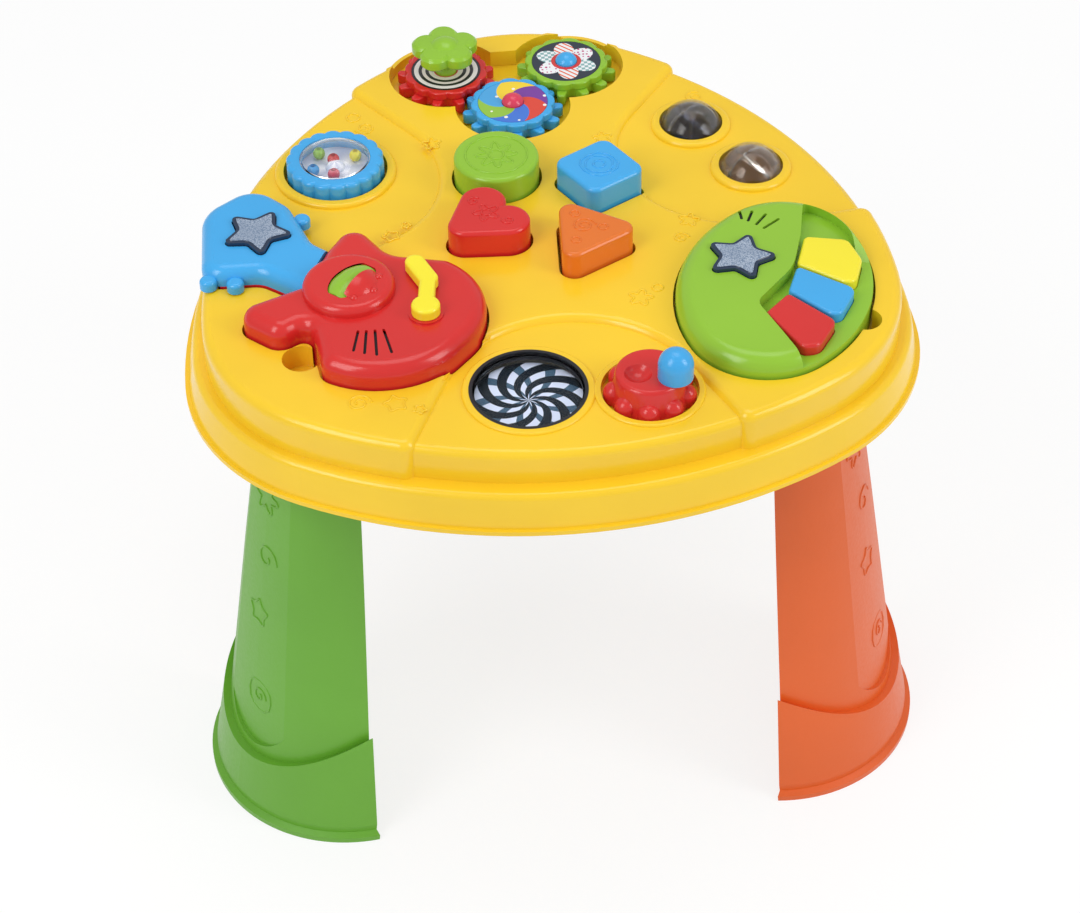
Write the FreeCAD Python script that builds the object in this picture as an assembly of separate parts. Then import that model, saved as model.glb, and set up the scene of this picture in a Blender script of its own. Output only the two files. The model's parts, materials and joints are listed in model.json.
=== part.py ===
"""Musical activity table: a three-cornered play top on three hollow legs.

Millimetres, +Z up. Shapes are drawn about the table's own threefold axis with the
floor at z = 0 and the back corner towards +Y, then moved so that the origin is the
middle of the bounding box on the floor.
"""
import FreeCAD
import Part
import math
import os

Vec = FreeCAD.Vector
up = Vec(0, 0, 1)

# Heights above the floor
play_z = 360.0          # corner plateaus and the middle of the top
bay_drop = 4.0          # the three side bays lie this much lower
ledge_z = 333.0         # step half way down the skirt
rim_z = 307.0           # lower edge of the skirt
wall = 3.0              # moulded wall

# Plan of the top: three corner arcs joined by three long side arcs
corner_dist = 115.0
corner_r = 120.8
side_r = 314.9
lower_step = 7.5        # lower skirt outside the upper one, at the ledge
lower_flare = 12.0      # and at its foot
bead_out = 14.55        # bead round the lower edge
bead_h = 3.2
edge_r = 6.0            # rounding of the top's outer edge
ledge_r = 4.5

# Side bays: an arch between two notches in the rim
bay_recess = 4.0
notch_angle = 32.2      # notch to corner, seen from the axis
arch_dist = 82.0        # axis to the top of the arch
arch_r = 80.0
notch_r = 8.0

# Legs: half shells of revolution, open towards the middle
leg_dist = 171.5
leg_base_r = 97.6
leg_foot_r = 93.5
leg_foot_z = 11.0
leg_knee_r = 71.8
leg_knee_z = 112.0
leg_mid_r = 58.8
leg_mid_z = 198.0
leg_neck_r = 41.9
leg_neck_z = 306.0
leg_open_base = 38.0    # open side's distance from the leg's axis at the floor
leg_open_top = 3.0
panel_depth = 3.0       # flattened oval panel on the outer face
panel_flatter = 60.0    # its curve is this much larger in radius
panel_half = 36.0
panel_low = 52.0
panel_high = 292.0
foot_step = 4.2         # the foot stands out below a wavy step
foot_wave_low = 46.0
foot_wave_high = 104.0
foot_wave_w = 88.0
bead_leg_h = 4.0
socket_gap = 0.4
socket_h = 20.0
leg_screw_x = 22.0
leg_screw_y = 18.0
screw_r = 1.6
screw_bite = 2.4

# Gears in the back corner
gear_centres = [(-45.2, 189.7), (-3.5, 146.5), (38.2, 189.7)]
gear_teeth = 12
gear_root_r = 24.8
gear_tip_r = 34.2
gear_h = 13.0
gear_web = 7.5          # height of the teeth; the plate on top stands higher
gear_slip = 0.6         # gap between a plate and the next gear's teeth
gear_plate_r = 28.6
gear_tooth_w = 3.1      # half width of a tooth at its round tip
gear_root_w = 4.0
gear_lift = 2.0         # underside above the recess floor
gear_recess = 12.0
gear_space = 5.0        # recess wall outside the tooth tips
print_r = 23.6
print_t = 0.8
hub_r = 7.4
hub_dome = 5.0
pin_r = 4.0
pin_collar_r = 7.0
pin_head_r = 6.0
pin_head_h = 1.8
pin_grip = 8.0          # thickness of what turns between collar and head
running = 0.06          # radial clearance of a bore on its pin
play = 0.3              # gap between moving faces
flower_z = 375.0        # underside of the flower knob's petals
flower_h = 10.0
petal_r = 10.2
petal_ring = 12.8

# Rattle wheel in the left bay
rattle_centre = (-127.5, 92.0)
rattle_r = 32.5
rattle_lobes = 18
rattle_window_r = 22.5
rattle_depth = 10.0
rattle_gap = 2.0
rattle_h = 20.0
rattle_dome = 7.5
rattle_plate = 8.0
bead_r = 3.2
bead_ring = 14.0
bead_count = 5

# Clear balls in the right bay
ball_centres = [(113.7, 114.0), (145.7, 61.0)]
ball_r = 22.5
ball_wall = 1.6
ball_dir = -59.0        # direction of the trunnions
ball_rise = 16.0        # top of a ball above the bay
ball_gap = 0.8
ball_pin_r = 2.5
cradle_gap = 1.5
cradle_wall = 2.5
cradle_flange = 3.5

# Shape blocks in the middle
block_rise = 18.0
well_depth = 16.0
well_gap = 1.8
block_wall = 2.2
block_edge_r = 3.0
round_centre = (-22.5, 68.0)
round_r = 28.0
square_centre = (43.0, 49.0)
square_side = 44.0
square_turn = 30.0
heart_centre = (-37.0, 6.0)
heart_turn = 32.0
heart_lobe_r = 15.0
triangle_corners = [(19.0, 3.0), (48.0, -17.5), (16.5, -35.0)]
block_corner_r = 8.0

# Guitar: drawn along its neck, u from head to tail, v across
guitar_at = (-100.0, -75.0)
guitar_turn = -42.0
guitar_floor = 344.0    # bottom of its pocket in the top
guitar_body_z = 376.0
guitar_head_z = 373.0
guitar_rim = -11.5      # the head's lower part stops this far inside the rim outline
unit_gap = 1.5          # pocket wall outside a lift-out unit
unit_seat = 0.4         # feet of a unit stand this much above the pocket floor
shell_edge_r = 9.5
bump_uv = (-33.0, -4.0)
bump_r = 29.0
bump_rise = 7.0
roller_uv = (-31.0, -3.0)
roller_r = 16.0
roller_len = 34.0
roller_flutes = 14
roller_flute = 0.9
roller_end_r = 12.0
roller_gap = 0.8
hood_r = 21.5
hood_drop = 2.0
hood_cut = 5.0
roller_rise = 4.0       # top of the roller above the bump
roller_pin_r = 2.5
lever_uv = (21.0, 4.0)
lever_elbow = (6.0, 26.0)
lever_end = (-10.0, 34.0)
lever_h = 7.0
lever_pad_r = 9.0
lever_arm_r = 5.2
lever_tip_r = 6.4
star_tip_r = 25.0
star_waist_r = 13.0
star_round = 3.0
guitar_star_uv = (-118.0, 9.0)
guitar_star_turn = 29.0
button_stroke = 2.0
button_rise = 2.2
guitar_notch_uv = (-28.0, -59.0)
guitar_notch_r = 12.0

# Keyboard unit: an oval of four arcs
piano_at = (137.8, -73.7)
piano_turn = -20.0
piano_long = 84.0
piano_wide = 61.2
piano_end_r = 49.0
piano_floor = 344.0
unit_split = 361.0      # joint between a unit's back casing and its top
unit_wall = 2.0
unit_screw = 16.0
piano_z = 373.0
piano_deck = 364.0      # sunken crescent round the keys
piano_fade = (36.5, 64.0)  # the crescent's outer rim rises between these
key_top = 371.5
key_gap = 0.8
key_stroke = 3.0
key_tab = 1.5           # catch under the deck
key_tab_r = 3.5
piano_star_uv = (-24.3, 12.4)
piano_star_turn = 14.2
board_z = 355.0
board_t = 1.6
contact_gap = 6.4       # from the board up to a button's stem
contact_r = 3.5
cell_r = 5.2
cell_len = 44.5
piano_notch_uv = (59.5, -14.0)
piano_notch_r = 10.5

# Fittings inside the units, in their own (u, v) planes
post_r = 4.5
guitar_posts = [(38.0, 25.0), (33.0, -40.0), (-20.0, 37.0), (-66.0, -46.0), (-140.0, 34.0)]
guitar_door = (-8.0, 46.0, -14.0, 18.0)
guitar_boards = [(-126.0, -98.0, -4.0, 22.0)]
guitar_board_posts = [(-122.0, 19.0), (-101.0, -1.0), (-101.0, 19.0)]
guitar_speaker_uv = (10.0, -40.0)
guitar_slots = [((-3, -33), (6, -49)), ((1, -30), (13, -47)), ((5, -26.5), (20, -44)), ((9, -23), (26, -37))]
peg_uvs = [(-119.0, -39.0), (-103.5, -31.0), (-110.0, 43.5)]
peg_r = 5.5
piano_posts = [(-47.0, -28.0), (-6.0, -72.0), (-12.0, 74.0), (-42.0, 45.0)]
piano_door = (-40.0, 9.0, -45.0, -18.0)
piano_boards = [(18.0, 38.0, -52.0, 42.0), (-36.0, 19.0, -2.0, 22.0)]
piano_board_posts = [(22.0, -49.0), (35.0, 39.0), (-32.0, 1.0), (-32.0, 19.0)]
piano_speaker_uv = (-22.0, 52.0)
piano_slots = [((-34, 60.8), (-31.1, 52.6)), ((-25.9, 61.3), (-26.6, 51.3)), ((-16.9, 60.1), (-20.8, 48.8)),
               ((-8.1, 57), (-15.4, 46))]
piano_deck_plan = [(4.0, 79.5, 3.0), (8.5, 44.0, 60.0), (9.5, 12.0, 40.0), (-6.5, -27.0, 9.0),
                   (14.0, -52.0, 60.0), (33.0, -76.0, 8.0), (90.0, -76.0, 4.0), (90.0, 36.5, 4.0),
                   (46.8, 36.5, 5.0), (37.7, 61.4, 38.0), (19.5, 76.8, 38.0)]
keys = {
    "yellow": [(10.5, 17.0, 3.5), (50.5, 2.6, 7.0), (50.5, 31.0, 9.0), (38.5, 49.0, 7.0), (10.2, 46.2, 4.5)],
    "blue": [(9.9, -10.5, 3.5), (45.5, -31.0, 7.0), (51.6, 1.4, 7.0), (10.8, 15.8, 3.5)],
    "red": [(28.2, -62.8, 6.0), (38.5, -58.0, 9.0), (44.8, -32.2, 7.0), (10.3, -11.8, 3.5), (-0.6, -34.8, 4.0)],
}

# Crank and swirl in the front bay
crank_centre = (48.0, -152.0)
crank_r = 28.5
crank_top_r = 21.0
crank_rise = 16.0
crank_lobes = 9
knob_r = 10.9
knob_h = 20.0
blob_r = 7.0
blob_ring = 21.8
knob_offset = 16.0
knob_dir = -27.0
dip_offset = 8.0
dip_dir = 195.0
dip_r = 8.5
swirl_centre = (-25.0, -143.0)
swirl_r = 36.5
window_t = 2.0
swirl_t = 2.0
drive_teeth = 20
drive_z = 328.0
drive_h = 6.0
drive_floor = 320.0
shaft_r = 4.0


def side_dist():
    """Distance from the axis to the centre of a side arc."""
    reach = side_r - corner_r
    return (-corner_dist + math.sqrt(4 * reach ** 2 - 3 * corner_dist ** 2)) / 2


def polar(radius, degrees, centre=(0.0, 0.0), z=0.0):
    a = math.radians(degrees)
    return Vec(centre[0] + radius * math.cos(a), centre[1] + radius * math.sin(a), z)


def arc(a, b, c):
    return Part.Arc(a, b, c).toShape()


def line(a, b):
    return Part.LineSegment(a, b).toShape()


def place(uv, at, turn):
    """Point of a unit's own (u, v) plane in the table's plane."""
    a = math.radians(turn)
    x = at[0] + uv[0] * math.cos(a) - uv[1] * math.sin(a)
    y = at[1] + uv[0] * math.sin(a) + uv[1] * math.cos(a)
    return (x, y)


def disc(centre, radius, z0, z1):
    return Part.makeCylinder(radius, z1 - z0, Vec(centre[0], centre[1], z0))


def tube(centre, outer, inner, z0, z1):
    return disc(centre, outer, z0, z1).cut(disc(centre, inner, z0 - 1, z1 + 1))


def prism(wire, z0, z1):
    """Solid between two heights over a wire drawn at z = 0."""
    face = Part.Face(wire)
    face.translate(Vec(0, 0, z0))
    return face.extrude(Vec(0, 0, z1 - z0))


def edges_at(shape, z, keep=None):
    """Edges that lie at one height, and that keep(edge) accepts."""
    found = []
    for edge in shape.Edges:
        box = edge.BoundBox
        if abs(box.ZMin - z) < 0.01 and abs(box.ZMax - z) < 0.01:
            if keep is None or keep(edge):
                found.append(edge)
    return found


def round_top(shape, radius, z):
    return shape.makeFillet(radius, edges_at(shape, z))


def one(*shapes):
    """Fused and cleaned single solid."""
    body = shapes[0].fuse(list(shapes[1:])) if len(shapes) > 1 else shapes[0]
    return body.removeSplitter()


def belt(circles, off=0.0):
    """Wire round a convex chain of circles (x, y, r), counter-clockwise, grown by off."""
    count = len(circles)
    starts = []
    ends = []
    for i in range(count):
        x0, y0, r0 = circles[i]
        x1, y1, r1 = circles[(i + 1) % count]
        r0 += off
        r1 += off
        length = math.hypot(x1 - x0, y1 - y0)
        ux, uy = (x1 - x0) / length, (y1 - y0) / length
        k = (r0 - r1) / length
        s = math.sqrt(1 - k * k)
        mx, my = k * ux + s * uy, k * uy - s * ux
        ends.append(Vec(x0 + r0 * mx, y0 + r0 * my, 0))
        starts.append(Vec(x1 + r1 * mx, y1 + r1 * my, 0))
    edges = []
    for i in range(count):
        x, y, r = circles[i]
        centre = Vec(x, y, 0)
        a = starts[i - 1] - centre
        b = ends[i] - centre
        turn = math.atan2(a.x * b.y - a.y * b.x, a.dot(b)) % (2 * math.pi)
        half = math.atan2(a.y, a.x) + turn / 2
        middle = Vec(x + (r + off) * math.cos(half), y + (r + off) * math.sin(half), 0)
        edges.append(arc(starts[i - 1], middle, ends[i]))
        edges.append(line(ends[i], starts[i]))
    return Part.Wire(edges)


def rounded(corners, off=0.0):
    """Closed counter-clockwise outline through corners (x, y, radius), grown by off.

    A corner that turns outwards grows its radius with off, and one that turns
    inwards loses it, so that two outlines stay parallel.
    """
    count = len(corners)
    points = [Vec(c[0], c[1], 0) for c in corners]
    dirs = []
    for i in range(count):
        step = points[(i + 1) % count] - points[i]
        step.normalize()
        dirs.append(step)
    moved = []
    for i in range(count):
        a = dirs[i - 1]
        b = dirs[i]
        na = Vec(a.y, -a.x, 0)
        nb = Vec(b.y, -b.x, 0)
        scale = off / (1 + na.dot(nb))
        moved.append(points[i] + (na + nb) * scale)
    tangents = []
    for i in range(count):
        a = dirs[i - 1]
        b = dirs[i]
        cross = a.x * b.y - a.y * b.x
        radius = corners[i][2] + (off if cross > 0 else -off)
        angle = math.atan2(abs(cross), a.dot(b))
        reach = radius * math.tan(angle / 2)
        start = moved[i] - a * reach
        end = moved[i] + b * reach
        inward = (b - a)
        inward.normalize()
        middle = moved[i] + inward * (radius / math.cos(angle / 2) - radius)
        tangents.append((start, middle, end))
    edges = []
    for i in range(count):
        start, middle, end = tangents[i]
        following = tangents[(i + 1) % count][0]
        edges.append(arc(start, middle, end))
        if end.distanceToPoint(following) > 1e-6:
            edges.append(line(end, following))
    return Part.Wire(edges)


def rim_wire(off, z=0.0):
    """Outline of the top, a parallel curve at distance off."""
    e = side_dist()
    edges = []
    joints = []
    for k in range(3):
        a = 90 + 120 * k
        centre = polar(corner_dist, a)
        for side in (-60, 60):
            outward = centre - polar(e, a + side + 180)
            outward.normalize()
            joints.append(centre + outward * (corner_r + off))
    for k in range(3):
        a = 90 + 120 * k
        first, second = joints[2 * k], joints[2 * k + 1]
        following = joints[(2 * k + 2) % 6]
        top = polar(corner_dist + corner_r + off, a)
        mid = polar(side_r + off - e, a + 60)
        edges.append(arc(first, top, second))
        edges.append(arc(second, mid, following))
    wire = Part.Wire(edges)
    wire.translate(Vec(0, 0, z))
    return wire


def bay_wire(off=0.0):
    """One side bay seen from above, mid direction -90 degrees, grown by off."""
    e = side_dist()
    half = math.radians(60 - notch_angle)
    # notch: where the ray at that angle meets the side arc
    reach = -e * math.cos(half) + math.sqrt(side_r ** 2 - (e * math.sin(half)) ** 2)
    nx = reach * math.sin(half)
    ny = -reach * math.cos(half)
    centre = Vec(0, -arch_dist - arch_r, 0)
    notch = Vec(nx, ny, 0)
    span = notch - centre
    # leg of the arch: tangent from the notch to the arch circle
    lean = math.acos(arch_r / span.Length) + math.atan2(span.y, span.x)
    normal = Vec(math.cos(lean), math.sin(lean), 0)
    touch = centre + normal * (arch_r + off)
    along = Vec(normal.y, -normal.x, 0)
    far = touch + along * 90
    left = Vec(-touch.x, touch.y, 0)
    left_far = Vec(-far.x, far.y, 0)
    top = centre + Vec(0, arch_r + off, 0)
    return Part.Wire([line(far, touch), arc(touch, top, left), line(left, left_far),
                      line(left_far, far)])


def three(shape):
    """The shape and its two copies turned about the axis."""
    copies = []
    for k in range(3):
        turned = shape.copy()
        turned.rotate(Vec(0, 0, 0), up, 120 * k)
        copies.append(turned)
    return copies


def plateau(off, z0, z1):
    """Corner plateaus and middle: the rim outline without its three bays."""
    body = prism(rim_wire(off), z0, z1)
    for bay in three(prism(bay_wire(-off), z0 - 1, z1 + 1)):
        body = body.cut(bay)
    return body.removeSplitter()


def gear_wire(centre, teeth, root, tip, turn=0.0):
    """Toothed outline: slanted flanks, rounded tips."""
    pitch = 360.0 / teeth
    mid_r = (root + tip) / 2
    root_half = math.degrees((mid_r * math.pi / teeth) * 0.62 / root)
    tip_half = math.degrees((mid_r * math.pi / teeth) * 0.27 / tip)
    cap = (tip - root) * 0.16
    edges = []
    for k in range(teeth):
        a = turn + k * pitch
        foot_a = polar(root, a - root_half, centre)
        foot_b = polar(root, a + root_half, centre)
        tip_a = polar(tip - cap, a - tip_half, centre)
        tip_b = polar(tip - cap, a + tip_half, centre)
        edges.append(line(foot_a, tip_a))
        edges.append(arc(tip_a, polar(tip, a, centre), tip_b))
        edges.append(line(tip_b, foot_b))
        edges.append(arc(foot_b, polar(root, a + pitch / 2, centre),
                         polar(root, a + pitch - root_half, centre)))
    return Part.Wire(edges)


def lobed_gear_wire(centre, teeth, root, tip, turn=0.0):
    """Toy gear: teeth with fully round tips, fillets between them."""
    pitch = 360.0 / teeth
    edges = []
    reach = tip - gear_tooth_w
    for k in range(teeth):
        a = turn + k * pitch
        foot = math.degrees(math.asin(gear_root_w / root))
        side = math.degrees(math.atan2(gear_tooth_w, reach))
        near = math.hypot(reach, gear_tooth_w)
        foot_a = polar(root, a - foot, centre)
        foot_b = polar(root, a + foot, centre)
        tip_a = polar(near, a - side, centre)
        tip_b = polar(near, a + side, centre)
        edges.append(line(foot_a, tip_a))
        edges.append(arc(tip_a, polar(tip, a, centre), tip_b))
        edges.append(line(tip_b, foot_b))
        edges.append(arc(foot_b, polar(root - 0.4, a + pitch / 2, centre), polar(root, a + pitch - foot, centre)))
    return Part.Wire(edges)


def star_wire(centre, tip, waist, turn, off=0.0):
    """Five-pointed star with rounded tips."""
    corners = []
    for k in range(5):
        a = turn + 72 * k
        p = polar(tip, a, centre)
        q = polar(waist, a + 36, centre)
        corners.append((p.x, p.y, star_round))
        corners.append((q.x, q.y, star_round + 1.0))
    return rounded(corners, off)


# Plans of what sits in the top, each grown by off for its pocket

def guitar_body_plan(off=0.0):
    uv = [(53, 58, 52), (-2.5, 58, 12), (-36, 41.3, 20), (-77, 55, 12), (-72, 22, 5.5),
          (-61, -14, 6), (-83.5, -61, 11), (-43, -61.5, 11), (-36, -39, 7), (-4.3, -66.7, 11),
          (21.2, -63.1, 59), (53, -31.4, 59)]
    return rounded([place(c[:2], guitar_at, guitar_turn) + (c[2],) for c in uv], off)


def guitar_head_plan(off=0.0):
    uv = [(-50, 25, 5), (-86, 25.5, 20), (-122, 46.5, 18), (-155, 50, 20), (-164, 8, 25),
          (-122, -42, 14), (-93, -17.5, 16), (-50, -15.5, 5)]
    return rounded([place(c[:2], guitar_at, guitar_turn) + (c[2],) for c in uv], off)


def oval_wire(at, turn, long_half, wide_half, end_r, off=0.0):
    """Oval of four tangent arcs, long along the unit's v axis."""
    side = (wide_half ** 2 + (long_half - end_r) ** 2 - end_r ** 2) / (2 * (wide_half - end_r))
    shift = side - wide_half
    reach = math.hypot(shift, long_half - end_r)
    kx = shift / reach
    ky = (long_half - end_r) / reach
    end_off = end_r + off
    ring = []
    for su, sv in ((1, 1), (-1, 1), (-1, -1), (1, -1)):
        ring.append((su * kx * end_off, sv * (long_half - end_r + ky * end_off)))
    tips = {"top": (0, long_half + off), "left": (-wide_half - off, 0),
            "bottom": (0, -long_half - off), "right": (wide_half + off, 0)}
    points = [Vec(*place(p, at, turn), 0) for p in ring]
    mids = {name: Vec(*place(p, at, turn), 0) for name, p in tips.items()}
    return Part.Wire([arc(points[0], mids["top"], points[1]),
                      arc(points[1], mids["left"], points[2]),
                      arc(points[2], mids["bottom"], points[3]),
                      arc(points[3], mids["right"], points[0])])


def piano_plan(off=0.0):
    return oval_wire(piano_at, piano_turn, piano_long, piano_wide, piano_end_r, off)


def square_plan(off=0.0):
    half = square_side / 2 - block_corner_r
    ring = []
    for k in range(4):
        p = polar(half * math.sqrt(2), square_turn + 45 + 90 * k, square_centre)
        ring.append((p.x, p.y, block_corner_r))
    return belt(ring, off)


def triangle_plan(off=0.0):
    ring = [(x, y, block_corner_r) for x, y in reversed(triangle_corners)]
    return belt(ring, off)


def heart_halves(off, z0, z1):
    """Two tapered capsules that share the heart's point."""
    tip = place((-15.0, 0.0), heart_centre, heart_turn) + (11.0,)
    halves = []
    for side in (-1, 1):
        lobe = place((9.0, side * 12.5), heart_centre, heart_turn) + (heart_lobe_r,)
        halves.append(prism(belt([tip, lobe], off), z0, z1))
    return halves


def gear_pocket(off, z0, z1):
    """Recess round the three gears, opened up to one smooth basin."""
    r = gear_tip_r + gear_space + off
    parts = [disc(c, r, z0, z1) for c in gear_centres]
    left, front, right = gear_centres
    web = belt([(front[0], front[1], r * 0.55), (right[0], right[1], r * 0.55),
                (left[0], left[1], r * 0.55)])
    parts.append(prism(web, z0, z1))
    return one(*parts)


blocks = {
    "block_round": lambda off, z0, z1: [disc(round_centre, round_r + off, z0, z1)],
    "block_square": lambda off, z0, z1: [prism(square_plan(off), z0, z1)],
    "block_heart": heart_halves,
    "block_triangle": lambda off, z0, z1: [prism(triangle_plan(off), z0, z1)],
}


def guitar_prism(off, z0, z1):
    """Plan of the whole guitar, kept inside the rim's wall."""
    whole = one(prism(guitar_body_plan(off), z0, z1), prism(guitar_head_plan(off), z0, z1))
    return whole.common(prism(rim_wire(guitar_rim + off), z0, z1))


def piano_prism(off, z0, z1):
    return prism(piano_plan(off), z0, z1)


def key_centre(name):
    ring = keys[name]
    return (sum(c[0] for c in ring) / len(ring), sum(c[1] for c in ring) / len(ring))


def leg_screw_points():
    points = []
    for k in range(3):
        a = 90 + 120 * k
        axis = polar(leg_dist, a)
        for side in (-1, 1):
            points.append(place((leg_screw_x, side * leg_screw_y), (axis.x, axis.y), a))
    return points


def gear_mesh_turns():
    """Rest angles that put a gap of the outer gears on the middle gear's teeth."""
    pitch = 360.0 / gear_teeth
    left, front, right = gear_centres
    turns = [0.0, 0.0, 0.0]
    for k, other in ((0, left), (2, right)):
        line_up = math.degrees(math.atan2(other[1] - front[1], other[0] - front[0]))
        ahead = (line_up - turns[1]) % pitch
        turns[k] = line_up + 180 + pitch / 2 + ahead
    return turns


def drive_mesh_turns():
    pitch = 360.0 / drive_teeth
    line_up = math.degrees(math.atan2(swirl_centre[1] - crank_centre[1],
                                      swirl_centre[0] - crank_centre[0]))
    return [line_up, line_up + 180 + pitch / 2]


def notch(at, turn, uv, radius, z0, z1):
    return disc(place(uv, at, turn), radius, z0, z1)


# The top

bay_z = play_z - bay_drop
leg_top_z = guitar_floor - wall
gear_floor = play_z - gear_recess
rattle_floor = bay_z - rattle_depth
ball_z = bay_z + ball_rise - ball_r
crank_floor = bay_z - 5.0
well_floor = play_z - well_depth
swirl_z = bay_z - 8.0            # upper face of the spinning disc
unit_floor = guitar_floor + unit_seat
roller_z = guitar_body_z + bump_rise + roller_rise - roller_r


def pockets(off, top):
    """Everything that is sunk into the top, up to a height; off adds walls and floors."""
    found = [
        gear_pocket(off, gear_floor - off, top),
        guitar_prism(unit_gap + off, guitar_floor - off, top),
        prism(piano_plan(unit_gap + off), piano_floor - off, top),
        disc(rattle_centre, rattle_r + rattle_gap + off, rattle_floor - off, top),
        disc(crank_centre, crank_r + unit_gap + off, crank_floor - off, top),
        notch(guitar_at, guitar_turn, guitar_notch_uv, guitar_notch_r + off, guitar_floor - off, top),
        notch(piano_at, piano_turn, piano_notch_uv, piano_notch_r + off, piano_floor - off, top),
    ]
    for plan in blocks.values():
        found.append(one(*plan(well_gap + off, well_floor - off, top)))
    return found


def collar(centre, radius, rise):
    """Raised ring with a rounded shoulder round an opening in a bay."""
    body = disc(centre, radius, bay_z - 2, bay_z + rise)
    return round_top(body, rise * 0.9, bay_z + rise)


def table_top():
    skirt_top = round_top(prism(rim_wire(-bay_recess), ledge_z - 5, bay_z), edge_r - 1, bay_z)
    upper = plateau(0.0, ledge_z - 5, play_z)
    corners = [e for e in upper.Edges if e.Length > play_z - ledge_z and
               abs(e.BoundBox.XLength) < 0.01 and abs(e.BoundBox.YLength) < 0.01 and
               math.hypot(e.BoundBox.Center.x, e.BoundBox.Center.y) > 200]
    upper = upper.makeFillet(notch_r, corners)
    upper = round_top(upper, edge_r, play_z)
    foot_z = rim_z + bead_h
    lower = Part.makeLoft([rim_wire(lower_flare, foot_z), rim_wire(lower_step, ledge_z)], True, True)
    lower = round_top(lower, ledge_r, ledge_z)
    bead = prism(rim_wire(bead_out), rim_z, foot_z)
    shell = one(skirt_top, upper, lower, bead)
    hollow = [
        prism(rim_wire(-bay_recess - wall), rim_z - 1, bay_z - wall),
        plateau(-wall, rim_z - 1, play_z - wall),
        Part.makeLoft([rim_wire(lower_flare - wall, rim_z - 1),
                       rim_wire(lower_step - wall, ledge_z - wall)], True, True),
    ]
    shell = shell.cut(hollow)
    under = pockets(wall, bay_z - 1)
    middle = plateau(-1.0, bay_z - 2, play_z - 1)
    under += [p.common(middle) for p in pockets(wall, play_z - 1)]
    sockets = []
    for k in range(3):
        c = polar(leg_dist, 90 + 120 * k)
        r = leg_neck_r + socket_gap + wall
        pad = disc((c.x, c.y), r, leg_top_z, bay_z - 1)
        ring = tube((c.x, c.y), r, leg_neck_r + socket_gap, leg_top_z - socket_h, leg_top_z)
        sockets.append(pad.common(prism(rim_wire(-bay_recess - 1), leg_top_z - 1, play_z)))
        sockets.append(ring.common(prism(rim_wire(-bay_recess - 1), rim_z, play_z)))
    raised = [collar(rattle_centre, rattle_r + 8.0, 3.0),
              collar(swirl_centre, swirl_r + 4.5, 1.6),
              collar(crank_centre, crank_r + 5.5, 1.6)]
    for centre in ball_centres:
        raised.append(collar(centre, ball_r + 4.5, 3.0))
    body = one(shell, *(under + sockets + raised))
    cutters = pockets(0.0, play_z + 20)
    for centre in ball_centres:
        round_it = Part.makeSphere(ball_r + ball_gap, Vec(centre[0], centre[1], ball_z))
        cutters.append(round_it.common(disc(centre, ball_r + 5, ball_z + 1, bay_z + 10)))
    cutters.append(disc(swirl_centre, swirl_r, bay_z - 20, bay_z + 10))
    for centre in gear_centres + [rattle_centre, crank_centre]:
        radius = shaft_r + running if centre == crank_centre else pin_r
        cutters.append(disc(centre, radius, leg_top_z - 1, play_z))
    for at in leg_screw_points():
        cutters.append(disc(at, screw_r, leg_top_z - 1, leg_top_z + screw_bite))
    return body.cut(cutters).removeSplitter()


# Legs

def leg_profile(grow=0.0):
    """Radius and height pairs of a leg's outside above its foot."""
    slope = (leg_mid_r - leg_neck_r) / (leg_neck_z - leg_mid_z)
    plug_r = leg_neck_r - slope * (leg_top_z - socket_h - leg_neck_z)
    base_r = leg_knee_r + (leg_knee_r - leg_mid_r) * leg_knee_z / (leg_mid_z - leg_knee_z)
    return [(base_r + grow, 0.0), (leg_knee_r + grow, leg_knee_z), (leg_mid_r + grow, leg_mid_z),
            (plug_r + grow, leg_top_z - socket_h), (plug_r + grow, leg_top_z)]


def spun(pairs, off, z_low, z_high):
    """Solid of revolution under a chain of (radius, height) pairs."""
    points = [Vec(0, 0, z_low)]
    points += [Vec(r - off, 0, min(max(z, z_low), z_high)) for r, z in pairs]
    points.append(Vec(0, 0, z_high))
    points.append(points[0])
    face = Part.Face(Part.makePolygon(points))
    return face.revolve(Vec(0, 0, 0), up, 360)


def leg_panel(depth, grow, z_low, z_high):
    """What a shallower curve leaves off the leg's outer face inside a long oval."""
    height = panel_high - panel_low + 2 * grow
    half = panel_half + grow
    middle = (panel_high + panel_low) / 2
    oval = belt([(height / 2 - half, 0, half), (half - height / 2, 0, half)])
    block = Part.Face(oval).extrude(Vec(0, 0, 300))
    block.rotate(Vec(0, 0, 0), Vec(0, 1, 0), -90)
    block.rotate(Vec(0, 0, 0), Vec(1, 0, 0), 180)
    block.translate(Vec(300, 0, middle))
    if block.BoundBox.XMin < 0:
        block.translate(Vec(-block.BoundBox.XMin, 0, 0))
    shallow = spun(leg_profile(panel_flatter), depth, z_low, z_high)
    shallow.translate(Vec(-panel_flatter - panel_depth, 0, 0))
    return block.cut(shallow)


def foot_wave(drop=0.0):
    """Everything below the wavy step of the foot, lowered by drop."""
    w = foot_wave_w
    low, high = foot_wave_low - drop, foot_wave_high - drop
    far = leg_base_r + 30
    edge = [arc(Vec(0, -w, high), Vec(0, 0, low), Vec(0, w, high)),
            line(Vec(0, w, high), Vec(0, far, high)),
            line(Vec(0, far, high), Vec(0, far, -10)),
            line(Vec(0, far, -10), Vec(0, -far, -10)),
            line(Vec(0, -far, -10), Vec(0, -far, high)),
            line(Vec(0, -far, high), Vec(0, -w, high))]
    return Part.Face(Part.Wire(edge)).extrude(Vec(2 * far, 0, 0))


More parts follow.
